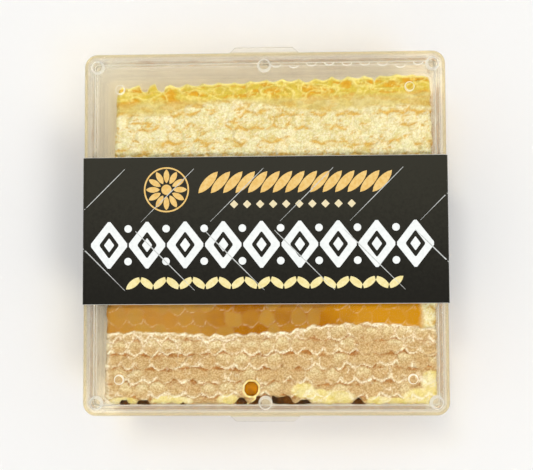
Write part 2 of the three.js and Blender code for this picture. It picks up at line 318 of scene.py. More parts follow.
class Surface(Graph):
    """The shader tree of one material, with a Principled shader ready to feed."""

    def __init__(self, name: str) -> None:
        """Makes the material, with an empty tree but for the shader and the output.

        Args:
            name: The material's name.
        """
        self.material = bpy.data.materials.new(name)
        self.material.use_nodes = True
        super().__init__(self.material.node_tree)
        self.tree.nodes.clear()
        self.shader = self.node("ShaderNodeBsdfPrincipled")
        self.output = self.node("ShaderNodeOutputMaterial", {"Surface": self.shader.outputs[0]})

    def set(self, **values: Any) -> None:
        """Feeds the Principled shader's inputs. An underscore in a name stands for a space."""
        for name, value in values.items():
            self.feed(self.shader.inputs[name.replace("_", " ")], value)

    def place(self) -> Flow:
        """Object coordinates, in millimetres."""
        node = self.node("ShaderNodeTexCoord")
        return Flow(self, node.outputs["Object"], is_vector=True) * (1000.0, 1000.0, 1000.0)

    def attribute(self, name: str) -> Flow:
        """A number that the mesh carries at each point."""
        node = self.node("ShaderNodeAttribute", attribute_name=name)
        return Flow(self, node.outputs["Fac"])

    def bump(self, height: Flow, depth: float, strength: float = 1.0) -> None:
        """Feeds a bump to the shader: height from 0 to 1 stands for this many millimetres."""
        node = self.node("ShaderNodeBump", {"Height": height, "Distance": depth * MM, "Strength": strength})
        self.set(Normal=node.outputs[0])

    def let_light_through(self, tint: str, straight: float) -> None:
        """Lets light pass unbent.

        Args:
            tint: The colour of what passes.
            straight: How much of what the eye sees passes. All of the lamps' light does.
        """
        clear = self.node("ShaderNodeBsdfTransparent", {"Color": tint})
        path = self.node("ShaderNodeLightPath")
        share = Flow(self, path.outputs["Is Shadow Ray"]).most(straight)
        mixed = self.node("ShaderNodeMixShader", {0: share, 1: self.shader.outputs[0], 2: clear.outputs[0]})
        self.feed(self.output.inputs["Surface"], mixed.outputs[0])


class Modifier(Graph):
    """A Geometry Nodes tree with named inputs. Its geometry comes in and goes out as one stream."""

    def __init__(self, name: str) -> None:
        """Makes the tree, with a geometry socket at each end and a material input.

        Args:
            name: The tree's name.
        """
        super().__init__(bpy.data.node_groups.new(name, "GeometryNodeTree"))
        self.sockets: dict[str, str] = {}
        self.tree.interface.new_socket("Geometry", in_out="OUTPUT", socket_type="NodeSocketGeometry")
        self._start = self.node("NodeGroupInput")
        self.geometry = self.input("Geometry", "Geometry")
        self._material = self.input("Material", "Material")

    def input(self, name: str, kind: str, value: Any = None, is_vector: bool = False) -> Flow:
        """Adds a named input to the tree.

        Args:
            name: What the input is called.
            kind: The socket's type, such as "Float".
            value: What it holds until a piece sets it.
            is_vector: Whether sums on it are vector sums.

        Returns:
            The value as it enters the tree.
        """
        socket = self.tree.interface.new_socket(name, in_out="INPUT", socket_type=f"NodeSocket{kind}")
        if value is not None:
            socket.default_value = value
        self.sockets[name] = socket.identifier
        return Flow(self, self._start.outputs[name], is_vector)

    def place(self) -> Flow:
        """Each point's position, in millimetres."""
        return self.value("GeometryNodeInputPosition", is_vector=True) * (1000.0, 1000.0, 1000.0)

    def attribute(self, name: str) -> Flow:
        """A number that the mesh already carries at each point."""
        node = self.node("GeometryNodeInputNamedAttribute", {"Name": name}, data_type="FLOAT")
        return Flow(self, node.outputs["Attribute"])

    def store(self, geometry: Flow, name: str, value: Flow) -> Flow:
        """Writes a number at each point, for the material to read."""
        inputs = {"Geometry": geometry, "Name": name, "Value": value}
        return self.value("GeometryNodeStoreNamedAttribute", inputs, data_type="FLOAT", domain="POINT")

    def close(self, geometry: Flow) -> None:
        """Ends the tree: instances made real, and the material set.

        Args:
            geometry: What the tree has made.
        """
        real = self.node("GeometryNodeRealizeInstances", {0: geometry})
        inputs = {"Geometry": real.outputs[0], "Material": self._material}
        dressed = self.node("GeometryNodeSetMaterial", inputs)
        self.node("NodeGroupOutput", {0: dressed.outputs[0]})

    def run(self, piece: bpy.types.Object, material: bpy.types.Material, **values: Any) -> None:
        """Runs the tree on a piece and keeps the result as a plain mesh.

        Args:
            piece: The object whose mesh goes in and is replaced.
            material: What the result is dressed with.
            values: The other inputs, by name, an underscore standing for a space.
        """
        modifier = piece.modifiers.new(self.tree.name, "NODES")
        modifier.node_group = self.tree
        modifier[self.sockets["Material"]] = material
        for name, value in values.items():
            modifier[self.sockets[name.replace("_", " ")]] = value
        settle(piece)


# ---- Meshes ----


def settle(piece: bpy.types.Object) -> None:
    """Turns a piece's modifiers into plain mesh and removes them.

    Args:
        piece: The piece.
    """
    bpy.context.view_layer.update()
    graph = bpy.context.evaluated_depsgraph_get()
    live = piece.evaluated_get(graph)
    mesh = bpy.data.meshes.new_from_object(live, preserve_all_data_layers=True, depsgraph=graph)
    mesh.name = piece.name
    piece.modifiers.clear()
    piece.data = mesh


def new_piece(
    name: str, points: Any, faces: Faces, material: bpy.types.Material | None = None
) -> bpy.types.Object:
    """Makes an object from points in millimetres.

    Args:
        name: The piece's name.
        points: Rows of x, y and z.
        faces: Lists of point numbers, anticlockwise from outside.
        material: Its finish, if it has one yet.

    Returns:
        The object, at the origin.
    """
    mesh = bpy.data.meshes.new(name)
    mesh.from_pydata((np.asarray(points, float) * MM).tolist(), [], [list(f) for f in faces])
    if material is not None:
        mesh.materials.append(material)
    piece = bpy.data.objects.new(name, mesh)
    bpy.context.scene.collection.objects.link(piece)
    return piece


def smooth(piece: bpy.types.Object, crease: float = 35.0) -> bpy.types.Object:
    """Shades a piece smooth.

    Args:
        piece: The piece.
        crease: Edges that turn more than this many degrees stay sharp.

    Returns:
        The piece.
    """
    piece.data.shade_smooth()
    piece.data.set_sharp_from_angle(angle=math.radians(crease))
    return piece


def keep_flats(piece: bpy.types.Object) -> bpy.types.Object:
    """Keeps a piece's large flat faces flat where they run into rounded edges.

    Args:
        piece: The piece.

    Returns:
        The piece.
    """
    modifier = piece.modifiers.new("keep_flats", "WEIGHTED_NORMAL")
    modifier.keep_sharp = True
    settle(piece)
    return piece


def discard(*pieces: bpy.types.Object) -> None:
    """Removes helper objects."""
    for piece in pieces:
        bpy.data.objects.remove(piece)


def unite(piece: bpy.types.Object, *others: bpy.types.Object) -> bpy.types.Object:
    """Joins closed pieces into one closed piece.

    Args:
        piece: The piece that grows.
        others: What it takes in. They are removed.

    Returns:
        The piece.
    """
    for other in others:
        modifier = piece.modifiers.new("unite", "BOOLEAN")
        modifier.operation = "UNION"
        modifier.solver = "EXACT"
        modifier.object = other
        settle(piece)
        discard(other)
    return piece


def finish_piece(piece: bpy.types.Object, node: str | None = None) -> bpy.types.Object:
    """Hands a finished piece over to the frame.

    Args:
        piece: The piece, with nothing live on it.
        node: The CAD node that it stands for, if any.

    Returns:
        The piece.
    """
    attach(piece, BODY)
    if node is not None:
        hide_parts(node)
    log.info("%s: %d faces", piece.name, len(piece.data.polygons))
    return piece


def skin(rings: int, count: int, closed: bool = False, flip: bool = False, first: int = 0) -> list[list[int]]:
    """The faces of a body whose points come in rings of as many points each.

    Args:
        rings: How many rings there are.
        count: Points in a ring, which runs anticlockwise as seen from the last ring.
        closed: Whether the last ring joins the first again. If not, both ends are capped.
        flip: Turns the faces over, for rings that run clockwise.
        first: The number of the first point.

    Returns:
        The faces.
    """
    faces = []
    for ring in range(rings if closed else rings - 1):
        low, high = first + ring * count, first + (ring + 1) % rings * count
        faces += [[low + k, low + (k + 1) % count, high + (k + 1) % count, high + k] for k in range(count)]
    if not closed:
        last = first + (rings - 1) * count
        faces += [list(range(first, first + count))[::-1], list(range(last, last + count))]
    return [face[::-1] for face in faces] if flip else faces


def drop(
    outline: Sequence[Spot], middle: Spot, rings: Sequence[Spot], foot: float
) -> tuple[list[Place], Faces]:
    """A flat drop that is closed by a point at its middle on top and underneath.

    Args:
        outline: Its widest ring, measured from the middle, anticlockwise.
        middle: Where it lies.
        rings: How wide each ring is, as a share of the outline, and its height, from the top down. The first
            is the point on top.
        foot: The height of the point underneath.

    Returns:
        The points and the faces.
    """
    count = len(outline)
    points = [(*middle, rings[0][1])]
    for share, z in rings[1:]:
        points += [(middle[0] + x * share, middle[1] + y * share, z) for x, y in outline]
    points.append((*middle, foot))
    low = len(points) - 1 - count
    faces = [[0, 1 + k, 1 + (k + 1) % count] for k in range(count)]
    faces += [[low + (k + 1) % count, low + k, len(points) - 1] for k in range(count)]
    return points, faces + skin(len(rings) - 1, count, flip=True, first=1)[:-2]


def rounded_square(half: float, radius: float, steps: int) -> list[Spot]:
    """The outline of a square with round corners, anticlockwise from the +X side.

    Args:
        half: Half its width.
        radius: Its corners' radius.
        steps: Straight pieces in each corner.

    Returns:
        The outline.
    """
    outline = []
    for corner in range(4):
        start = corner * math.pi / 2.0
        reach = (half - radius) * math.sqrt(2.0)
        middle_x = reach * math.cos(start + math.pi / 4.0)
        middle_y = reach * math.sin(start + math.pi / 4.0)
        for step in range(steps + 1):
            angle = start + step / steps * math.pi / 2.0
            outline.append((middle_x + radius * math.cos(angle), middle_y + radius * math.sin(angle)))
    return outline


def tube(
    name: str,
    path: Any,
    radii: Sequence[float],
    material: bpy.types.Material | None = None,
    closed: bool = False,
    sides: int = 8,
) -> bpy.types.Object:
    """A round tube along a path.

    Args:
        name: The piece's name.
        path: The middle line.
        radii: The tube's radius at each place.
        material: Its finish, if it has one yet.
        closed: Whether the path runs back to its start.
        sides: How many sides it has.

    Returns:
        The tube.
    """
    line = np.asarray(path, float)
    ahead = np.roll(line, -1, 0) - np.roll(line, 1, 0)
    if not closed:
        ahead[0], ahead[-1] = line[1] - line[0], line[-1] - line[-2]
    ahead /= np.linalg.norm(ahead, axis=1)[:, None]
    across = np.cross(ahead, [0.0, 0.0, 1.0])
    across /= np.linalg.norm(across, axis=1)[:, None] + TINY
    over = np.cross(across, ahead)
    points = [
        line[k] + radius * (math.cos(angle) * across[k] + math.sin(angle) * over[k])
        for k, radius in enumerate(radii)
        for angle in round_turns(sides)
    ]
    return new_piece(name, points, skin(len(line), sides, closed, flip=True), material)


def square_loft(name: str, rings: Sequence[Place], steps: int = 14) -> bpy.types.Object:
    """A closed body of square section with round corners.

    Args:
        name: The piece's name.
        rings: Half width, corner radius and height of each ring, up the outside and over.
        steps: Straight pieces in each corner.

    Returns:
        The body.
    """
    points: list[Place] = []
    for half, radius, z in rings:
        points += [(x, y, z) for x, y in rounded_square(half, max(radius, 0.02), steps)]
    return new_piece(name, points, skin(len(rings), 4 * (steps + 1)))


def arc_rings(half: float, radius: float, z: float, bend: float, turn: Spot, steps: int) -> list[Place]:
    """Rings round a curved edge, for square_loft.

    Args:
        half: Half width of the square at the bend's middle.
        radius: The square's corner radius there.
        z: The height of the bend's middle.
        bend: The bend's own radius.
        turn: Its first and last angle in degrees, 0 pointing out and 90 up.
        steps: Straight pieces in the bend.

    Returns:
        The rings, in order.
    """
    rings = []
    for step in range(steps + 1):
        angle = math.radians(turn[0] + (turn[1] - turn[0]) * step / steps)
        out = bend * math.cos(angle)
        rings.append((half + out, radius + out, z + bend * math.sin(angle)))
    return rings


# ---- Finishes ----


@dataclass(frozen=True)
class ClearPlastic:
    """Moulded polystyrene: clear and glossy, with a faint haze in its steep walls and its rim. On a lid the
    rim is also tinted tan, a painted refraction of the comb's colour through the thick edge.
    """

    name: str
    tint: str
    roughness: float = 0.03
    ior: float = 1.4
    mirror: float = 0.15
    straight: float = 0.28
    transmission: float = 1.0
    haze: float = 0.0
    steep: Spot = (0.3, 0.8)
    rim_half: float = 0.0
    rim_corner: float = 4.3
    rim_outer: float = -0.25
    rim_width: float = 1.1
    rim_haze: float = 0.4
    # The rim's tan tint is a painted refraction: the comb's colour seen through the thick edge.
    rim_painted_refraction: str = "#efe3bf"
    shelf_width: float = 3.1
    shelf_haze: float = 0.15
    softness: float = 0.15

    def material(self) -> bpy.types.Material:
        """Makes the plastic, which lets the lamps' light through to what it holds.

        Returns:
            The material.
        """
        surface = Surface(self.name)
        surface.set(Base_Color=self.tint, Roughness=self.roughness, IOR=self.ior)
        surface.set(Specular_Tint=(self.mirror, self.mirror, self.mirror, 1.0))
        surface.set(Transmission_Weight=self.transmission)
        if self.haze > 0.0:
            surface.set(Transmission_Weight=self.transmission - self._cloud(surface))
        surface.let_light_through(self.tint, self.straight)
        return surface.material

    def _cloud(self, surface: Surface) -> Flow:
        """The haze in steep faces and, on a lid, in its rim and in the shelf behind the rim. On a lid it also
        paints the rim tan: a painted refraction of the comb seen through the thick edge.

        Args:
            surface: The material's tree.

        Returns:
            How much of the light it stops.
        """
        normal = Flow(surface, surface.node("ShaderNodeNewGeometry").outputs["Normal"], is_vector=True)
        _, _, up = normal.parts()
        cloud = up.abs().rise(*self.steep, self.haze, 0.0)
        if self.rim_half > 0.0:
            rim = self._band(surface, self.rim_outer, self.rim_width)
            shelf = self._band(surface, self.rim_width, self.shelf_width)
            cloud = cloud.most(rim * self.rim_haze).most(shelf * self.shelf_haze)
            # Painted refraction: the rim takes a tan tint for the comb seen through the thick edge.
            surface.set(Base_Color=surface.blend(rim, self.tint, self.rim_painted_refraction))
        return cloud

    def _band(self, surface: Surface, outer: float, inner: float) -> Flow:
        """Marks a band along a rounded square's outline.

        Args:
            surface: The material's tree.
            outer: How far in the band begins.
            inner: How far in it ends.

        Returns:
            1 in the band and 0 elsewhere.
        """
        inset = self.rim_half - self.rim_corner
        beyond = surface.vector("ABSOLUTE", surface.place()) - (inset, inset, 0.0)
        level = surface.vector("MAXIMUM", beyond, (0.0, 0.0, 0.0)) * (1.0, 1.0, 0.0)
        reach = surface.vector("LENGTH", level)
        low, high = self.rim_corner - inner, self.rim_corner - outer
        inside = reach.rise(low - self.softness, low + self.softness)
        return inside * reach.rise(high - self.softness, high + self.softness, 1.0, 0.0)


@dataclass(frozen=True)
class CombFinish:
    """Beeswax over honey: pale dry cappings, old tan ones, folded yellow wax, and wet amber."""

    dry: str = "#eeebc0"
    dry_patch: str = "#dfcc7e"
    bare: str = "#f8f0c6"
    groove: str = "#deb658"
    old: str = "#d2b688"
    # Old hollows: darker tan-brown, partly a painted shadow cast by each scalloped ridge on the cell just
    # nearer.
    old_hollow_and_shadow: str = "#b47c3a"
    # Domed: pale colour of old domes; on their far halves it is a painted highlight, and the wet band's pale
    # arcs take it too.
    domed: str = "#ece2bc"
    ridge: str = "#fffae8"
    folded: str = "#dcc44c"
    folded_hollow: str = "#dfa824"
    folded_rim: str = "#fff4a2"
    sunken: str = "#d2bc70"
    sunken_patch: str = "#e2d498"
    wet: str = "#a86800"
    wet_left: str = "#bc8638"
    wet_right: str = "#d09000"
    wet_disc: str = "#bc9444"
    smear: str = "#f0e29e"
    amber: str = "#e6ae4a"
    wall: str = "#f8ecbc"
    tone: str = "#ebebeb"
    speck_low: str = "#d4c4a8"
    speck_high: str = "#fcfdfd"
    grain: float = 0.14
    dull: float = 0.52
    glossy: float = 0.14
    marks: tuple[str, ...] = (
        "hollow", "ridge", "wet", "pale", "tint", "old", "rim", "fold", "smear", "disc", "wall", "side"
    )

    def material(self) -> bpy.types.Material:
        """Makes the wax, painted by the numbers that the relief leaves at each point."""
        return CombSurface(self).material


class CombSurface(Surface):
    """The comb's material while it is painted, from the dry cappings to the cut sides."""

    def __init__(self, finish: CombFinish) -> None:
        """Paints the comb.

        Args:
            finish: Its colours.
        """
        super().__init__("comb_wax")
        self.finish = finish
        self.spot = self.place()
        self.at = at = {name: self.attribute(name) for name in finish.marks}
        at["patch"] = self.noise(self.spot, 0.22, 3.0).rise(0.42, 0.68)
        shade = self.blend(at["old"], self._dry(), self._old())
        shade = self.blend(at["fold"], shade, self._folded())
        smeared = self.blend(at["patch"] * 0.45, finish.smear, finish.ridge)
        smeared = self.blend(at["hollow"] * 0.5, smeared, finish.folded)
        shade = self.blend(at["smear"], shade, smeared)
        shade = self.blend(at["ridge"], shade, self.blend(at["fold"], finish.ridge, finish.folded_rim))
        shade = self.blend(at["wet"], shade, self._soaked())
        shade = self.blend(at["side"], shade, self.blend(at["wall"], finish.amber, finish.wall))
        gloss = at["wet"].most(at["side"] * 0.7)
        self.set(Base_Color=self.vector("MULTIPLY", shade, self._specks()))
        self.set(Roughness=gloss.rise(0.0, 1.0, finish.dull, finish.glossy))
        self.set(IOR=WAX_IOR, Specular_IOR_Level=0.2)
        self.set(Subsurface_Weight=0.15, Subsurface_Radius=(1.0, 0.7, 0.35), Subsurface_Scale=0.6 * MM)
        self.bump(self.noise(self.spot, 1.3, 4.0, 0.62), finish.grain, 0.8)

    def _dry(self) -> Flow:
        """Colours the dry cappings.

        Returns:
            Pale wax, golden in its hollows and nearly white on some cells.
        """
        at, finish = self.at, self.finish
        dry = self.blend(at["patch"] * 0.7 + at["tint"] * 0.3, finish.dry, finish.dry_patch)
        dry = self.blend(at["tint"].rise(0.6, 0.85) * 0.6, dry, finish.bare)
        return self.blend(at["hollow"], dry, finish.groove)

    def _old(self) -> Flow:
        """The colour of the old cappings: tan, darker in the hollows, which include a painted shadow just
        below each ridge, and with pale domes whose far halves carry a painted highlight.
        """
        old = self.blend(self.at["hollow"], self.finish.old, self.finish.old_hollow_and_shadow)
        # Painted highlight: the pale mark lightens the far, lit halves of some domes.
        return self.blend(self.at["pale"] * 0.8, old, self.finish.domed)

    def _folded(self) -> Flow:
        """Colours the folded wax.

        Returns:
            Yellow in the torn rim, and paler in the sunken row behind it.
        """
        at, finish = self.at, self.finish
        sunken = self.blend(at["patch"], finish.sunken, finish.sunken_patch)
        sunken = self.blend(at["hollow"] * 0.4, sunken, finish.folded_hollow)
        folded = self.blend(at["hollow"], finish.folded, finish.folded_hollow)
        return self.blend(at["rim"], sunken, folded)

    def _soaked(self) -> Flow:
        """Colours the wet band.

        Returns:
            Milky honey at the left, deep amber in the middle and orange at the right.
        """
        at, finish = self.at, self.finish
        x, _, _ = self.spot.parts()
        wash = self.noise(self.spot, 0.1, 3.0) * 24.0 - 12.0 + x
        soaked = self.blend(wash.rise(-30.0, -8.0), finish.wet_left, finish.wet)
        soaked = self.blend(wash.rise(16.0, 30.0), soaked, finish.wet_right)
        soaked = self.blend(at["disc"] * wash.rise(5.0, 30.0, 0.75, 0.2), soaked, finish.wet_disc)
        mottle = self.noise(self.spot, 0.3, 3.0, 0.6).rise(0.35, 0.65)
        soaked = self.blend(mottle * 0.25, soaked, finish.wet_right)
        return self.blend(at["ridge"] * 0.42, soaked, finish.domed)

    def _specks(self) -> Flow:
        """Makes the wax's fine specks, which are weaker where it is wet, folded, smeared or dry.

        Returns:
            What the colour is multiplied by.
        """
        at, finish = self.at, self.finish
        speck = self.noise(self.spot, 1.7, 3.0, 0.75).rise(0.38, 0.62)
        speck = self.blend(speck, finish.speck_low, finish.speck_high)
        even = at["wet"].most(0.5 - at["old"] * 0.5).most(at["fold"] * 0.7).most(at["smear"] * 0.6)
        return self.blend(even, speck, finish.tone)


@dataclass(frozen=True)
class Honey:
    """Runny honey: clear amber with a wet shine."""

    name: str
    tint: str
    deep: str
    transmission: float
    roughness: float = 0.05

    def material(self) -> bpy.types.Material:
        """Makes the honey, which is darker in some places.

        Returns:
            The material.
        """
        surface = Surface(self.name)
        place = surface.place()
        swirl = surface.noise(place, 0.5, 2.0).rise(0.35, 0.65)
        surface.set(Base_Color=surface.blend(swirl, self.tint, self.deep), Roughness=self.roughness)
        surface.set(IOR=1.48, Specular_IOR_Level=0.2, Transmission_Weight=self.transmission)
        surface.bump(surface.noise(place, 0.4, 2.0), 0.1, 0.5)
        surface.let_light_through(self.tint, 0.0)
        return surface.material


@dataclass(frozen=True)
class SoftWax:
    """Fresh pale wax, with no honey on it."""

    name: str
    shade: str = "#f3e6ad"
    mottle: str = "#e8cd7a"

    def material(self) -> bpy.types.Material:
        """Makes the wax.

        Returns:
            The material.
        """
        surface = Surface(self.name)
        place = surface.place()
        cloud = surface.noise(place, 0.8, 3.0).rise(0.35, 0.7)
        surface.set(Base_Color=surface.blend(cloud, self.shade, self.mottle), Roughness=0.45)
        surface.set(IOR=WAX_IOR, Subsurface_Weight=0.15, Subsurface_Scale=0.6 * MM)
        surface.bump(surface.noise(place, 2.0, 3.0), 0.1, 0.7)
        return surface.material


@dataclass(frozen=True)
class Paper:
    """Coated label paper or the ink on it: two shades, mottled or going over into each other, and a sheen.
    Going over from far to near is a painted sheen, lighter at the far side.
    """

    name: str
    shade: str
    mottle: str
    roughness: float = 0.5
    fibre: float = 0.012
    span: float = 0.0

    def material(self) -> bpy.types.Material:
        """Makes the paper. With a span, it turns from the shade to the mottle from far to near: a painted
        sheen, lighter at the far side.

        Returns:
            The material.
        """
        surface = Surface(self.name)
        place = surface.place()
        cloud = surface.noise(place, 0.9, 4.0, 0.65).rise(0.35, 0.7)
        if self.span > 0.0:
            _, y, _ = place.parts()
            # Painted sheen: lighter towards the far side, darker towards the near side.
            cloud = (cloud * 0.2 + 0.4 - y / self.span).rise(0.0, 1.0)
        speck = surface.noise(place, 7.0, 2.0)
        surface.set(Base_Color=surface.blend(cloud, self.shade, self.mottle))
        surface.set(Roughness=speck.rise(0.3, 0.7, self.roughness - 0.05, self.roughness + 0.08))
        surface.set(IOR=1.42, Specular_IOR_Level=0.18)
        surface.bump(speck, self.fibre, 0.5)
        return surface.material


@dataclass(frozen=True)
class StudioPaper:
    """The pale sheet that the box lies on."""

    shade: str = "#f8f7f5"

    def material(self) -> bpy.types.Material:
        """Makes the sheet's finish.

        Returns:
            The material.
        """
        surface = Surface("studio_paper")
        surface.set(Base_Color=self.shade, Roughness=0.85)
        return surface.material


# ---- Geometry Nodes trees ----


class Motifs(Modifier):
    """Copies of one motif, each a little larger or smaller than it."""

    def __init__(self, name: str, seed: int) -> None:
        """Starts the tree.

        Args:
            name: The tree's name.
            seed: Chooses the copies' sizes.
        """
        super().__init__(name)
        self.motif = self.input("Motif", "Object")
        self.unevenness = self.input("Unevenness", "Float", 0.0)
        self.seed = seed

    def copy(self, points: Any, turn: Flow) -> None:
        """Ends the tree with a copy at each point.

        Args:
            points: The points' geometry.
            turn: Each copy's turn about Z.
        """
        inputs = {"Min": -1.0, "Max": 1.0, "Seed": self.seed}
        draw = self.node("FunctionNodeRandomValue", inputs, data_type="FLOAT")
        shape = self.node("GeometryNodeObjectInfo", {"Object": self.motif})
        inputs = {
            "Points": points,
            "Instance": shape.outputs["Geometry"],
            "Rotation": self.combine(z=turn),
            "Scale": 1.0 + self.unevenness * Flow(self, draw.outputs["Value"]),
        }
        self.close(self.value("GeometryNodeInstanceOnPoints", inputs))


class MotifRow(Motifs):
    """Copies of one motif along a straight line, at an even pitch, which lean by turns to either side."""

    def __init__(self) -> None:
        """Builds the tree."""
        super().__init__("motif_row", seed=11)
        count = self.input("Count", "Int", 4)
        start = self.input("Start", "Vector", (0.0, 0.0, 0.0), True)
        pitch = self.input("Pitch", "Vector", (0.01, 0.0, 0.0), True)
        lean = self.input("Lean", "Float", 0.0)
        inputs = {"Count": count, "Start Location": start, "Offset": pitch}
        line = self.node("GeometryNodeMeshLine", inputs, mode="OFFSET")
        index = self.value("GeometryNodeInputIndex")
        self.copy(line.outputs[0], lean * (1.0 - self.math("MODULO", index, 2.0) * 2.0))


class MotifPlaces(Motifs):
    """Copies of one motif at the points of the piece's own mesh, each turned away from a middle."""

    def __init__(self) -> None:
        """Builds the tree."""
        super().__init__("motif_places", seed=5)
        middle = self.input("Middle", "Vector", (0.0, 0.0, 0.0), True)
        outward = self.value("GeometryNodeInputPosition", is_vector=True) - middle
        x, y, _ = outward.parts()
        self.copy(self.geometry, self.math("ARCTAN2", y, x))


@dataclass(frozen=True)
class InCell:
    """Where a point lies in its cell of the comb.

    edge is its distance in from the six sides and round_off from a round outline, as shares of half the
    pitch; slant is 1 on the sloping sides; lift runs from -1 at the near end to 1 at the far end; and tint
    is the cell's own random number.
    """

    edge: Flow
    slant: Flow
    round_off: Flow
    lift: Flow
    tint: Flow

    @property
    def bulge(self) -> Flow:
        """How much the far half of an old capping swells; the painted highlight on old domes follows it too.
        """
        return self.lift.rise(-0.6, 0.6) * self.round_off.rise(0.0, 0.35)


@dataclass(frozen=True)
class Ground:
    """The noises that several kinds of wax share: broad and small lumps, grain, patches and streaks."""

    swell: Flow
    lumps: Flow
    grain: Flow
    patchy: Flow
    streak: Flow

    @property
    def dips(self) -> Flow:
        """The small lumps turned over."""
        return self.lumps * -1.0


@dataclass(frozen=True)
class Relief:
    """One kind of wax at a point: its height, how hollow it is and how much of it is a bright crest."""

    height: Flow
    hollow: Flow
    bright: Flow


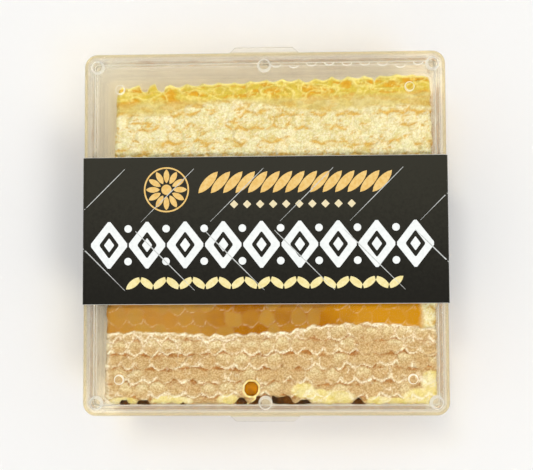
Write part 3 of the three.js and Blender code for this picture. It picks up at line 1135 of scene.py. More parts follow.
class CappingRelief(Modifier):
    """Raises the cappings, ridges and folds of a slab of comb, and opens the cells along its cut sides.

    The slab carries numbers at each point: side and under say what face the point is on, around is its
    distance round the outline, and the others measure it from lines and places on the upper face. The tree
    adds the numbers that the finish reads.
    """

    def __init__(self) -> None:
        """Builds the tree."""
        super().__init__("capping_relief")
        self.pitch = self.input("Cell pitch", "Float", CELL_PITCH)
        self.dome = self.input("Dome", "Float", 0.45)
        self.ridge = self.input("Ridge", "Float", 0.45)
        self.fold_height = self.input("Fold", "Float", 0.6)
        self.flute = self.input("Flute", "Float", 0.7)
        self.wet_far = self.input("Wet far", "Float", -16.0)
        self.wet_end = self.input("Wet end", "Float", 51.5)
        self.wet_height = self.input("Wet height", "Float", 1.2)
        self.midrib = self.input("Midrib", "Float", 17.3)
        self.low = self.input("Low", "Float", 2.1)
        self.high = self.input("High", "Float", 32.5)
        self.spot = self.place()
        side, under = self.attribute("side"), self.attribute("under")
        bent = self._bent()
        self.cell = cell = self._cell(bent, under)
        self.zones = zones = self._zones(bent)
        self.ground = self._ground()
        upper = self._upper_caps()
        lower, pressed = self._lower_caps()
        cut, wall = self._cut_side()
        depth = cut * side
        top = 1.0 - side.most(under)
        inward = self.value("GeometryNodeInputNormal", is_vector=True) * self.combine(depth, depth, depth)
        climb = self.combine(z=upper.height * top - lower * under)
        inputs = {"Geometry": self.geometry, "Offset": (climb - inward) * (MM, MM, MM)}
        geometry = self.value("GeometryNodeSetPosition", inputs)
        numbers = {
            # hollow: darker colour in low places; in the old cappings it holds the painted shadow below each
            # ridge.
            "hollow": upper.hollow * top + pressed * under,
            "ridge": upper.bright * top,
            "wet": zones["wet"] * top + pressed * under * 0.6,
            "old": zones["old"] * top + under * 0.4,
            "fold": zones["fold"] * top,
            "smear": zones["smear"] * top,
            "disc": cell.round_off.rise(0.0, 0.12) * cell.tint.rise(0.2, 0.9),
            # pale: a painted highlight on the far, lit half of some old domes, most in the first row below
            # the wet band.
            "pale": cell.bulge * (cell.tint + zones["first"] * 0.55).rise(0.5, 0.9) * zones["old"],
            "rim": zones["rim"] * top,
            "tint": cell.tint,
            "wall": wall,
        }
        for name, value in numbers.items():
            geometry = self.store(geometry, name, value)
        self.close(geometry)

    def _bent(self) -> Flow:
        """Bends the net of cells a little all over, and crumples it where the wax is folded.

        Returns:
            The place that each point has in an even net.
        """
        _, y, _ = self.spot.parts()
        crumple = (y - self.attribute("fold_line")).rise(-2.0, 3.0)
        broad, fine = self.stray(self.spot, 0.07), self.stray(self.spot, 0.3)
        bent = self.spot + broad * (3.4, 3.4, 0.0) + fine * (2.4, 2.2, 0.0)
        return bent + self.stray(self.spot, 0.16) * self.combine(crumple * 2.6, crumple * 3.4)

    def _cell(self, bent: Flow, under: Flow) -> InCell:
        """Finds each point's cell in a net of six-sided cells.

        Args:
            bent: The point's place in the net, in millimetres.
            under: 1 on the lower face, whose cells lie half a step away.

        Returns:
            Where the point lies in its cell.
        """
        level = bent * (1.0, 1.0, 0.0) + self.combine(y=under * self.pitch * 0.577)
        size = self.combine(self.pitch, self.pitch * math.sqrt(3.0), 1.0)
        share = level / size
        whole = self.vector("FLOOR", share + (0.5, 0.5, 0.0)) * size
        half = (self.vector("FLOOR", share) + (0.5, 0.5, 0.0)) * size
        from_whole, from_half = level - whole, level - half
        nearer = self.math("LESS_THAN", self.vector("LENGTH", from_half), self.vector("LENGTH", from_whole))
        local, centre = self.choose(nearer, from_whole, from_half), self.choose(nearer, whole, half)
        across, along, _ = local.parts()
        reach = self.pitch * 0.5
        slant = (across.abs() * 0.5 + along.abs() * 0.866) / reach
        edge = 1.0 - (across.abs() / reach).most(slant)
        round_off = 1.0 - self.vector("LENGTH", local) / reach
        tint = self.value("ShaderNodeTexWhiteNoise", {"Vector": centre}, noise_dimensions="3D")
        return InCell(edge, slant, round_off, along / reach, tint)

    def _zones(self, bent: Flow) -> dict[str, Flow]:
        """Divides the upper face among the kinds of wax.

        Args:
            bent: The point's place in the net, in millimetres.

        Returns:
            How much of each kind a point has, by name.
        """
        x, y, _ = self.spot.parts()
        bent_x, _, _ = bent.parts()
        waver = (self.noise(self.spot, 0.06, 2.0) - 0.5) * 5.0
        fray = (self.noise(self.spot, 0.35, 2.0) - 0.5) * 1.6
        arches = self.math("COSINE", bent_x * math.pi / self.pitch).abs()
        above = y + fray * 1.1 - arches * 0.65 + 0.4 - self.attribute("wet_line")
        soaked = above.rise(-0.2, 0.2)
        wet = soaked * (1.0 - (y + fray).rise(self.wet_far - 0.5, self.wet_far + 0.5))
        wet = wet * (1.0 - (x + waver + fray).rise(self.wet_end - 1.5, self.wet_end + 1.5))
        folded = (y + waver * 0.5 + fray - self.attribute("fold_line")).rise(-1.0, 1.0)
        smear = (self.attribute("smear_near") + fray * 0.16 + waver * 0.03).rise(0.85, 1.1, 1.0, 0.0)
        from_far = self.attribute("from_far") + waver * 0.5 + fray
        return {
            "wet": wet,
            "old": 1.0 - soaked,
            "fold": folded,
            "rim": from_far.rise(5.0, 7.5, 1.0, 0.0) * folded,
            "lip": self.attribute("from_far").rise(0.3, 1.1, 1.0, 0.0),
            "left": (self.attribute("from_left") + fray).rise(0.9, 2.0, 1.0, 0.0),
            "smear": smear,
            "open": self.attribute("opened"),
            "first": above.rise(-5.2, -4.4) * (1.0 - soaked),
            "shore": (above + 0.35).hump(0.4) * (0.3 + self.noise(self.spot, 0.4, 2.0).rise(0.38, 0.54)),
            "high": above.rise(-12.0, 0.0),
        }

    def _ground(self) -> Ground:
        """Makes the shared noises.

        Returns:
            All of them.
        """
        return Ground(
            swell=self.noise(self.spot, 0.05, 1.0) - 0.5,
            lumps=self.noise(self.spot, 0.42, 3.0, 0.6) - 0.5,
            grain=self.noise(self.spot, 1.6, 2.0) - 0.5,
            patchy=self.noise(self.spot, 0.16, 2.0),
            streak=self.noise(self.spot * (0.3, 1.0, 1.0), 0.55, 3.0, 0.6),
        )

    def _upper_caps(self) -> Relief:
        """Lays the kinds of wax over each other.

        Returns:
            The upper face's relief.
        """
        zones, cell, ground = self.zones, self.cell, self.ground
        dry, old, fold = self._dry_wax(), self._old_wax(), self._folded_wax()
        smear = ground.lumps * 2.4 + self.ridge * 0.6 + old.bright * self.ridge * 0.6
        wet = ground.swell * 0.1 + ground.grain * 0.04 + self.wet_height
        height = dry.height.toward(old.height, zones["old"]).toward(fold.height, zones["fold"])
        height = height.toward(smear, zones["smear"]) + ground.swell * 0.7 + ground.grain * 0.3
        height = height + zones["high"] * zones["old"] * self.wet_height * 0.7
        height = height.toward(wet, zones["wet"]) * (1.0 - zones["open"])
        hollow = dry.hollow.toward(old.hollow, zones["old"])
        hollow = hollow.toward(ground.dips.rise(-0.02, 0.12), zones["smear"])
        hollow = hollow.toward(fold.hollow, zones["fold"])
        above_middle = cell.lift.rise(-0.5, 0.0, 1.0, 0.0) * ground.patchy.rise(0.44, 0.54)
        veil = cell.round_off.hump(0.05) * above_middle.most(cell.tint * 0.3)
        bright = (old.bright + zones["left"] * 0.45) * zones["old"]
        bright = bright + fold.bright * zones["fold"] + veil * zones["wet"]
        dry_zone = (1.0 - zones["old"]) * (1.0 - zones["fold"]) * (1.0 - zones["wet"])
        bright = bright + dry.bright * dry_zone
        return Relief(height.least(1.5), hollow.rise(0.0, 1.0), bright.least(1.0))

    def _dry_wax(self) -> Relief:
        """Shapes the dry cappings.

        Returns:
            Low domes with golden seams and flecks between them, and fine creases.
        """
        cell, ground = self.cell, self.ground
        patchy, streak = ground.patchy, ground.streak
        crease = (self.noise(self.spot * (0.7, 1.0, 1.0), 0.75, 2.0) - 0.5).hump(0.05)
        fine = self.noise(self.spot * (0.45, 1.0, 1.0), 0.95, 3.0, 0.6)
        fleck = cell.slant.rise(0.66, 0.95) * streak.rise(0.4, 0.52) * patchy.rise(0.38, 0.5)
        fleck = (fleck * fine.rise(0.3, 0.45, 0.5, 1.0)).most(fine.rise(0.58, 0.68) * patchy.rise(0.44, 0.6))
        fleck = fleck.most(streak.rise(0.57, 0.66) * 0.85)
        crest = crease * (1.0 - fleck)
        height = cell.edge.rise(0.0, 0.6) * self.dome * (0.7 + cell.tint * 0.6) - fleck * self.dome * 0.25
        seam = cell.edge.rise(0.0, 0.2, 0.5, 0.0) * patchy.rise(0.36, 0.56)
        hollow = fleck.most(seam) + (1.0 - crease) * ground.dips.rise(0.0, 0.2) * 0.42
        return Relief(height + ground.lumps + crest * 0.25, hollow, crest * 0.6)

    def _old_wax(self) -> Relief:
        """Shapes the old cappings.

        Returns:
            Domes that swell towards their far ends, behind scalloped ridges, with a painted shadow in the
            sunk strip below each ridge.
        """
        zones, cell, ground = self.zones, self.cell, self.ground
        patchy = ground.patchy
        scallop = (cell.round_off - 0.04).hump(0.13) * cell.lift.rise(-0.5, -0.05, 1.0, 0.0)
        scallop = scallop * patchy.rise(0.42, 0.5, 0.1, 1.0)
        loose = (self.noise(self.spot, 0.17, 2.0) - 0.5).hump(0.012) * patchy.rise(0.44, 0.52)
        outline = cell.round_off.hump(0.08) * zones["first"] * patchy.rise(0.4, 0.6, 0.1, 0.8)
        crest = scallop.most(loose * 0.7).most(outline).most(zones["shore"])
        # Painted shadow: the far end of each cell, just below the ridge of the row beyond, sinks a little and
        # takes the dark hollow colour as if shaded by that ridge.
        sunk = cell.lift.rise(0.3, 0.8) * ground.streak.rise(0.42, 0.56)
        height = (crest + cell.bulge * 0.9 - sunk * 0.9) * self.ridge + ground.lumps * 0.7
        return Relief(height, sunk * 0.9 + ground.dips.rise(0.0, 0.2) * 0.4, crest)

    def _folded_wax(self) -> Relief:
        """Shapes the folded wax.

        Returns:
            Thin bright petals round deep pits, lower in the sunken row.
        """
        zones, ground = self.zones, self.ground
        flow = self.noise(self.spot * (0.5, 1.0, 1.0), 0.2, 1.0) - 0.5
        ripple = self.noise(self.spot * (0.6, 1.0, 1.0), 0.42, 1.0) - 0.5
        petal = flow.hump(0.022).most(ripple.hump(0.035) * 0.7) * zones["rim"].most(0.4) + zones["lip"]
        pit = (ground.streak - 0.5).rise(-0.02, 0.1).most((flow * -1.0).rise(0.03, 0.1))
        pit = pit * (1.0 - petal.least(1.0))
        height = (petal - pit * 0.6) * self.fold_height * (0.2 + zones["rim"] * 0.5)
        height = height + ground.lumps * (0.8 + zones["rim"] * 0.6)
        return Relief(height, pit * 0.9 - ground.lumps * 0.8, petal * 0.9)

    def _lower_caps(self) -> tuple[Flow, Flow]:
        """Shapes the lower face, which is pressed against the tray's floor.

        Returns:
            How far a point stands out downward, and how wet it is.
        """
        pillow = self.cell.edge.rise(0.0, 0.6) * (0.5 + self.cell.tint * 0.5)
        pressed = self.noise(self.spot, 0.12, 2.0).rise(0.42, 0.6)
        return (pillow - 1.0) * self.dome, pressed * self.cell.edge.rise(0.0, 0.2)

    def _cut_side(self) -> tuple[Flow, Flow]:
        """Opens the cells along the cut sides.

        Returns:
            How far a point lies in, and how much of it is the pale edge of a wax wall.
        """
        _, _, height = self.spot.parts()
        upper = height.rise(self.midrib - 0.1, self.midrib + 0.1)
        stray = (self.noise(self.spot, 0.13, 2.0) - 0.5) * 2.4
        count = (self.attribute("around") + stray) / self.pitch + upper * 0.5
        wall = (self.math("FRACT", count) - 0.5).abs().rise(0.37, 0.47)
        rib = (height + stray * 0.4 - self.midrib).hump(0.55)
        capped = (height - self.high).rise(-1.9, -1.0).most((self.low - height).rise(-1.9, -1.0))
        smeared = self.noise(self.spot, 0.16, 3.0).rise(0.56, 0.66)
        pale = wall.most(rib).most(capped).most(smeared * 0.8)
        torn = self.noise(self.spot, 0.4, 3.0).rise(0.35, 0.7)
        return (1.0 - pale) * self.flute * (0.5 + torn * 0.7) + torn * 0.25, pale


# ---- The box ----


@dataclass
class BoxSizes:
    """The box's sizes. What the frame can give is measured on it."""

    wall: float = 1.8
    floor: float = 1.8
    draft: float = 0.5
    corner: float = 4.3
    plate: float = 1.8
    skirt_gap: float = 0.3
    skirt_wall: float = 1.2
    post_radius: float = 1.9
    post_inset: float = 4.2
    edge: float = 1.0
    half: float = field(init=False)
    rim: float = field(init=False)
    top: float = field(init=False)
    post_foot: float = field(init=False)
    tab_reach: float = field(init=False)

    def __post_init__(self) -> None:
        """Measures the tray and the lid."""
        _, tray_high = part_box("tray")
        lid_low, lid_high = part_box("lid")
        self.half = tray_high.x / MM
        self.rim = tray_high.z / MM
        self.top = lid_high.z / MM
        self.post_foot = lid_low.z / MM
        self.tab_reach = lid_high.y / MM - self.half

    @property
    def plate_bottom(self) -> float:
        """The height of the plate's underside."""
        return self.top - self.plate

    @property
    def skirt_inner(self) -> float:
        """Half the clear width inside the skirt."""
        return self.half - self.wall - self.skirt_gap - self.skirt_wall

    def tray_half(self, z: float) -> float:
        """Half the tray's outer width at a height."""
        return self.half - self.draft * (1.0 - z / self.rim)

    def post_places(self) -> list[Spot]:
        """The posts' middles: the four corners and the near and far sides' middles."""
        out = self.half - self.post_inset
        return [(-out, -out), (out, -out), (-out, out), (out, out), (0.0, -out), (0.0, out)]


@dataclass
class Tray:
    """The open box with leaning walls."""

    sizes: BoxSizes
    foot: float = 1.4
    fillet: float = 1.2
    lip: float = 0.25

    def build(self, material: bpy.types.Material) -> None:
        """Makes the tray in one loft, from the underside up the outside and down to the floor.

        Args:
            material: Its plastic.
        """
        s, foot, lip, fillet = self.sizes, self.foot, self.lip, self.fillet
        inner_low = s.tray_half(s.floor) - s.wall
        inner_corner, inside, brim = s.corner - s.wall, s.half - s.wall, s.rim - lip
        rings = [
            *arc_rings(s.tray_half(0.0) - foot, s.corner - foot, foot, foot, (-90.0, 0.0), 5),
            *arc_rings(s.half - lip, s.corner - lip, brim, lip, (0.0, 90.0), 3),
            *arc_rings(inside + lip, inner_corner + lip, brim, lip, (90.0, 180.0), 3),
            *arc_rings(inner_low - fillet, inner_corner - fillet, s.floor + fillet, fillet, (0.0, -90.0), 5),
        ]
        tray = keep_flats(smooth(square_loft("clear_tray", rings), 60.0))
        tray.data.materials.append(material)
        finish_piece(tray, "tray")


@dataclass
class Lid:
    """The plate, its plug-in skirt with round posts, its thumb tabs and its moulding rings."""

    sizes: BoxSizes
    skirt_depth: float = 5.6
    lip: float = 0.3
    tab_root: float = 23.0
    tab_tip: float = 20.0
    tab_thick: float = 1.0
    tab_blunt: float = 0.4
    post_edge: float = 0.5
    # The ring round each post's root is a painted highlight of the post's bright rim.
    root_step: float = 0.4
    root_wall: float = 0.7
    root_height: float = 0.5
    ring_radius: float = 1.7
    ring_wall: float = 0.4
    ring_height: float = 0.3
    ring_inset: float = 11.8
    ring_lean: float = 0.6
    # The white lines along the skirt are this thick; they are painted highlights.
    fillet: float = 0.35
    sunk: float = 0.4
    steps: int = 28

    @property
    def inner_corner(self) -> float:
        """The corner radius of the skirt's inner face."""
        s = self.sizes
        return s.corner - s.wall - s.skirt_gap - s.skirt_wall

    def build(self, material: bpy.types.Material, places: MotifPlaces) -> None:
        """Makes the lid as one closed body, and the small parts that are set on it: clear posts, frosted
        moulding rings, and frosted white lines and rings that are painted highlights along the skirt and
        round the posts' roots.

        Args:
            material: Its plastic.
            places: The tree that sets the posts and rings in place.
        """
        s = self.sizes
        lid = unite(self._shell(), self._tab(1), self._tab(-1))
        lid.data.materials.clear()
        lid.data.materials.append(material)
        frosted = ClearPlastic("frosted_plastic", "#ffffff", 0.3, straight=0.0, transmission=0.75).material()
        reach = s.half - self.ring_inset
        corners = [(x * reach, y * reach) for x in (-1, 1) for y in (-1, 1)]
        # A frosted white ring round each post's root: a painted highlight for the bright rim of the clear
        # post.
        root = self._ring(s.post_radius + self.root_step, self.root_wall, self.root_height)
        ring = self._ring(self.ring_radius, self.ring_wall, self.ring_height)
        # Thin frosted white tubes along the skirt's inner root and foot: painted highlights on its inner
        # corners.
        for name, z in (
            ("skirt_root_line", s.plate_bottom - 0.35),
            ("skirt_foot_line", s.plate_bottom - self.skirt_depth + 0.4),
        ):
            path = [(x, y, z) for x, y in rounded_square(s.skirt_inner - TOUCH, self.inner_corner, 8)]
            line = tube(name, path, [self.fillet / 2] * len(path), frosted, closed=True, sides=6)
            finish_piece(smooth(line, 70.0))
        for name, spots, motif, finish in (
            ("lid_posts", s.post_places(), self._post(), material),
            ("lid_post_roots", s.post_places(), root, frosted),
            ("lid_rings", corners, ring, frosted),
        ):
            piece = new_piece(name, [(x, y, 0.0) for x, y in spots], [])
            places.run(piece, finish, Motif=motif)
            discard(motif)
            finish_piece(smooth(piece, 50.0))
        finish_piece(keep_flats(smooth(lid, 40.0)), "lid")

    def _shell(self) -> bpy.types.Object:
        """Makes the plate and the skirt.

        Returns:
            Both as one closed body.
        """
        s, lip, inner = self.sizes, self.lip, self.inner_corner
        outer = s.skirt_inner + s.skirt_wall
        foot = s.plate_bottom - self.skirt_depth + lip
        rings = [
            (s.skirt_inner, inner, s.plate_bottom),
            *arc_rings(s.skirt_inner + lip, inner + lip, foot, lip, (180.0, 270.0), 3),
            *arc_rings(outer - lip, inner + s.skirt_wall - lip, foot, lip, (-90.0, 0.0), 3),
            (outer, inner + s.skirt_wall, s.plate_bottom),
            *arc_rings(s.half - lip, s.corner - lip, s.plate_bottom + lip, lip, (-90.0, 0.0), 3),
            *arc_rings(s.half - s.edge, s.corner - s.edge, s.top - s.edge, s.edge, (0.0, 90.0), 6),
        ]
        return square_loft("clear_lid", rings)

    def _post(self) -> bpy.types.Object:
        """Makes one post.

        Returns:
            The post, with a rounded foot.
        """
        s, bend = self.sizes, self.post_edge
        profile = [
            (s.post_radius - bend + bend * math.sin(a), s.post_foot + bend - bend * math.cos(a))
            for a in np.linspace(0.0, math.pi / 2.0, 5)
        ]
        profile.append((s.post_radius, s.plate_bottom - TOUCH))
        points = [(x, y, z) for radius, z in profile for x, y in circle(radius, self.steps)]
        return new_piece("post", points, skin(len(profile), self.steps))

    def _ring(self, outer: float, wall: float, height: float) -> bpy.types.Object:
        """Makes one ring under the plate, whose wall is thickest towards -X.

        Args:
            outer: Its outer radius.
            wall: Its wall's mean thickness.
            height: How far it stands out.

        Returns:
            The ring.
        """
        low, high = self.sizes.plate_bottom - height, self.sizes.plate_bottom - TOUCH
        points = []
        for angle in round_turns(self.steps):
            inner = outer - wall * (1.0 - self.ring_lean * math.cos(angle))
            for radius, z in ((inner, low), (outer, low), (outer, high), (inner, high)):
                points.append((radius * math.cos(angle), radius * math.sin(angle), z))
        return new_piece("ring", points, skin(self.steps, 4, closed=True, flip=True))

    def _tab(self, side: int) -> bpy.types.Object:
        """Makes a thumb tab.

        Args:
            side: 1 for the far side and -1 for the near side.

        Returns:
            The tab.
        """
        s, blunt = self.sizes, self.tab_blunt
        root, tip = s.half - s.edge - self.sunk, s.half + s.tab_reach
        low, high = s.plate_bottom + TOUCH, s.plate_bottom + self.tab_thick
        right = [
            (self.tab_tip / 2 - 0.5, tip),
            (self.tab_tip / 2, tip - blunt),
            (self.tab_root / 2, s.half),
            (self.tab_root / 2, root),
        ]
        outline = [(-x, y) for x, y in right[::-1]] + right
        points = [(side * x, side * y, z) for z in (low, high) for x, y in outline]
        return new_piece("tab", points, skin(2, len(outline), flip=True))


# ---- The comb ----


@dataclass(frozen=True)
class Bite:
    """A piece missing from an edge of the slab: its reach along the edge and its depth."""

    low: float
    high: float
    depth: float
    blunt: float = 0.8

    def cut(self, along: Points) -> Points:
        """Cuts the bite.

        Args:
            along: Places along the edge.

        Returns:
            How far the edge is set in at each.
        """
        slope = (self.high - self.low) * (1.0 - self.blunt) / 2.0 + 0.35
        opening = rise(self.low, self.low + slope, along)
        return self.depth * opening * (1.0 - rise(self.high - slope, self.high, along))


@dataclass
class CombSlab:
    """The slab of comb: two layers of cells, back to back on the midrib, with their relief made by a tree."""

    sizes: BoxSizes
    far_left: Spot = (-49.7, 49.7)
    far_right: Spot = (55.4, 53.1)
    near_left: Spot = (-53.8, -56.2)
    near_right: Spot = (56.4, -56.5)
    top: float = 32.5
    clear: float = 0.3
    cell: float = CELL_PITCH
    corner: float = 4.0
    midrib: float = 17.3
    columns: int = 310
    shown_step: float = 0.36
    hidden_step: float = 1.2
    hidden: Spot = (-20.5, 22.5)
    lower_columns: int = 230
    levels: int = 18
    post_play: float = 0.35
    slump: float = 1.05
    slump_near: Spot = (-56.0, -53.0)
    slump_right: Spot = (53.0, 56.0)
    blend_in: float = 3.5
    opened_cell: Spot = (-4.7, -51.3)
    opened_radius: float = 2.6
    opened_depth: float = 1.2
    wet_line: tuple[Spot, ...] = (
        (-54.0, -33.2), (-38.0, -32.7), (-17.0, -33.8), (7.0, -32.8), (14.0, -31.2), (27.0, -29.9),
        (42.0, -30.3), (56.0, -32.0),
    )
    fold_line: tuple[Spot, ...] = (
        (-50.0, 40.0), (-33.0, 40.0), (-25.0, 43.0), (-10.0, 44.5), (4.0, 42.5), (20.0, 40.0), (30.0, 42.0),
        (56.0, 42.0),
    )
    smears: tuple[tuple[float, float, float, float], ...] = (
        (-31.0, -55.6, 7.0, 2.2), (-47.0, -55.5, 5.0, 1.5), (-12.5, -55.0, 3.5, 2.0),
        (12.5, -52.0, 4.2, 2.6), (17.0, -53.6, 3.8, 2.2), (22.5, -54.4, 7.0, 2.5), (51.5, -54.2, 7.0, 3.0),
        (54.3, -48.9, 3.6, 3.6), (42.0, -55.8, 4.5, 1.5), (37.0, -55.4, 4.0, 1.6),
    )

    near_bites: tuple[Bite, ...] = (
        Bite(-48.2, -45.4, 0.9), Bite(-42.9, -38.2, 1.0), Bite(-28.0, -26.6, 0.8, 0.3),
        Bite(-10.6, -5.6, 1.8, 0.35), Bite(-5.2, 9.4, 2.3, 0.8), Bite(9.6, 15.8, 1.3, 0.2),
        Bite(27.9, 32.9, 1.9, 0.1),
    )
    torn_cells: tuple[Bite, ...] = (
        Bite(-41.9, -38.5, 1.5, 0.7), Bite(-36.6, -33.1, 1.5, 0.7), Bite(36.0, 37.4, 1.3, 0.4),
    )

    @property
    def depth(self) -> float:
        """The slab's length from the near side to the far side."""
        return self.far_right[1] - self.near_left[1]

    @property
    def width(self) -> float:
        """The slab's width along the near side."""
        return self.near_right[0] - self.near_left[0]

    def _rows(self) -> Points:
        """Divides the slab from near to far, closely where the top shows and widely under the label.

        Returns:
            Shares from 0 at the near side to 1 at the far side.
        """
        low, high = self.near_left[1], self.far_right[1]
        y = np.linspace(low, high, 2000)
        step = np.where((y > self.hidden[0]) & (y < self.hidden[1]), self.hidden_step, self.shown_step)
        count = np.concatenate([[0.0], np.cumsum(np.diff(y) / step[1:])])
        places = np.interp(np.linspace(0.0, count[-1], int(count[-1]) + 1), count, y)
        return (places - low) / (high - low)

    def _rounded(self, s: Points, t: Points) -> tuple[Points, Points]:
        """Pulls shares in at the slab's corners, which makes them round.

        Args:
            s: Shares across the slab.
            t: Shares along it.

        Returns:
            Both, pulled in.
        """
        size = self.corner / self.width
        a, b = (np.maximum(0.0, np.abs(v - 0.5) - (0.5 - size)) / size for v in (s, t))
        both = (a > 0.0) & (b > 0.0)
        pulled = []
        for share, own, other in ((s, a, b), (t, b, a)):
            inward = 0.5 - size + size * own * np.sqrt(1.0 - other**2 / 2.0)
            pulled.append(np.where(both, 0.5 + np.sign(share - 0.5) * inward, share))
        return pulled[0], pulled[1]

    def _scallop(self, along: Points) -> Points:
        """The round bays that a row of cells leaves along a cut."""
        return np.abs(np.sin(math.pi * along / self.cell))

    def _fade(self, distance: Points) -> Points:
        """How much an edge's shape still counts at this distance from it."""
        return 1.0 - rise(0.0, self.blend_in, distance)

    def _plan(self, s: Points, t: Points) -> tuple[Points, Points]:
        """Finds places as seen from above, with bites, torn cells and wandering edges.

        Args:
            s: Shares across the slab.
            t: Shares along it.

        Returns:
            X and Y.
        """
        s, t = self._rounded(s, t)
        near = [n0 + (n1 - n0) * s for n0, n1 in zip(self.near_left, self.near_right)]
        far = [f0 + (f1 - f0) * s for f0, f1 in zip(self.far_left, self.far_right)]
        x, y = (low + (high - low) * t for low, high in zip(near, far))
        near_in = sum(bite.cut(x) for bite in self.near_bites)
        near_in = near_in + 0.25 * self._scallop(x + 1.0) + wander(x, 3, 0.25, 2.2)
        far_in = sum(bite.cut(x) for bite in self.torn_cells)
        far_in = far_in + 0.9 * self._scallop(x - 0.8) + wander(x, 4, 0.45, 6.0)
        left_in = 0.35 * self._scallop(y) + wander(y, 5, 0.3, 5.0)
        right_in = 0.35 * self._scallop(y + 2.0) + wander(y, 6, 0.25, 5.0)
        y = y + near_in * self._fade(t * self.depth) - far_in * self._fade((1.0 - t) * self.depth)
        x = x + left_in * self._fade(s * self.width) - right_in * self._fade((1.0 - s) * self.width)
        return self._clear_posts(x, y)

    def _clear_posts(self, x: Points, y: Points) -> tuple[Points, Points]:
        """Moves what would touch a post straight away from it.

        Args:
            x: Places' X.
            y: Their Y.

        Returns:
            Both, moved.
        """
        keep = self.sizes.post_radius + self.post_play
        for post_x, post_y in self.sizes.post_places():
            inward_x, inward_y = -np.sign(post_x) if post_x else 0.0, -np.sign(post_y)
            away_x, away_y = x - post_x, y - post_y
            away_x = np.where(away_x * inward_x < 0.0, 0.0, away_x)
            away_y = np.where(away_y * inward_y < 0.0, 0.0, away_y)
            inside = np.hypot(away_x, away_y) < keep
            lean_x = away_x + inward_x * 0.3
            lean_y = away_y + inward_y * 0.3
            size = np.maximum(np.hypot(lean_x, lean_y), 1e-6)
            x = np.where(inside, post_x + lean_x / size * keep, x)
            y = np.where(inside, post_y + lean_y / size * keep, y)
        return x, y

    def _layer(self, name: str, columns: Points, rows: Points, is_upper: bool) -> bpy.types.Object:
        """One layer of cells as a closed skin before its relief: its capped face, its sides and the midrib.

        Args:
            name: The layer's name.
            columns: Shares from left to right.
            rows: Shares from the near side to the far side.
            is_upper: Whether it is the layer above the midrib.

        Returns:
            The layer, with the numbers that each point carries.
        """
        s, t = np.meshgrid(columns, rows, indexing="ij")
        x, y = self._plan(s, t)
        from_side = np.minimum(np.minimum(s, 1.0 - s), np.minimum(t, 1.0 - t)) * self.depth
        bevel = 1.0 - rise(0.0, 1.3, from_side)
        from_cell = np.hypot(x - self.opened_cell[0], y - self.opened_cell[1])
        opened = is_upper * (1.0 - rise(self.opened_radius - 0.3, self.opened_radius + 0.3, from_cell))
        if is_upper:
            z = self.top - 0.7 * bevel * (1.0 - opened) - self.opened_depth * opened
            heights = np.linspace(self.top - 1.1, self.midrib, self.levels)
        else:
            z = self.floor + 0.5 * bevel
            heights = np.linspace(self.floor + 0.9, self.midrib, self.levels)
        grid = np.arange(x.size).reshape(x.shape)
        rim = np.concatenate([grid[:-1, 0], grid[-1, :-1], grid[:0:-1, -1], grid[0, :0:-1]]).tolist()
        cap = np.stack([x, y, z], -1).reshape(-1, 3)
        edge = cap[rim]
        first, count = len(cap), len(rim)
        last = first + self.levels * count
        middle = np.array([[*edge[:, :2].mean(axis=0), self.midrib]])
        every = np.vstack([cap, *(self._spread(edge, height) for height in heights), middle])
        corners = [grid[:-1, :-1], grid[1:, :-1], grid[1:, 1:], grid[:-1, 1:]]
        faces = np.stack(corners, -1).reshape(-1, 4).tolist()
        turns = [(k, (k + 1) % count) for k in range(count)]
        faces += [[first + k, first + n, rim[n], rim[k]] for k, n in turns]
        faces += skin(self.levels, count, flip=True, first=first)[:-2]
        faces += [[last, last - count + n, last - count + k] for k, n in turns]
        layer = new_piece(name, every, faces if is_upper else [face[::-1] for face in faces])
        steps = np.linalg.norm(np.diff(edge[:, :2], axis=0), axis=1)
        around = np.concatenate([[0.0], np.cumsum(steps)])
        self._carry(layer, "around", np.tile(around, self.levels), first)
        self._carry(layer, "side", np.ones(last - first), first)
        self._carry(layer, "under", np.full(first, 0.0 if is_upper else 1.0))
        self._carry(layer, "opened", opened.ravel())
        self._carry(layer, "wet_line", np.interp(every[:, 0], *zip(*self.wet_line)))
        self._carry(layer, "fold_line", np.interp(every[:, 0], *zip(*self.fold_line)))
        self._carry(layer, "from_far", ((1.0 - t) * self.depth).ravel())
        self._carry(layer, "from_left", (s * self.depth).ravel())
        shares = [np.hypot((every[:, 0] - x) / a, (every[:, 1] - y) / b) for x, y, a, b in self.smears]
        self._carry(layer, "smear_near", np.minimum(np.min(shares, axis=0), 3.0))
        return layer

    @staticmethod
    def _carry(layer: bpy.types.Object, name: str, values: Points, first: int = 0) -> None:
        """Writes a number at the points of a layer, and 0 at those that it isn't given for.

        Args:
            layer: The layer.
            name: What the number is called.
            values: The number at each point.
            first: The point that they begin at.
        """
        every = np.zeros(len(layer.data.vertices), np.float32)
        every[first : first + len(values)] = values
        layer.data.attributes.new(name, "FLOAT", "POINT").data.foreach_set("value", every)

    def _spread(self, edge: Points, height: float) -> Points:
        """Spreads the near and right sides towards the tray's walls, below the lid's posts.

        Args:
            edge: Points round the slab's face.
            height: The height at which the sides are wanted.

        Returns:
            The points round the sides there.
        """
        high = self.sizes.post_foot - 0.4
        below = 1.0 - rise(high - 1.0, high, height)
        spread = self.slump * float(below * rise(self.floor + 1.5, self.floor + 4.0, height))
        x = edge[:, 0] + rise(*self.slump_right, edge[:, 0]) * spread
        y = edge[:, 1] - (1.0 - rise(*self.slump_near, edge[:, 1])) * spread
        return np.column_stack([x, y, np.full(len(edge), height)])

    @property
    def floor(self) -> float:
        """The height of the slab's lower face."""
        return self.sizes.floor + self.clear

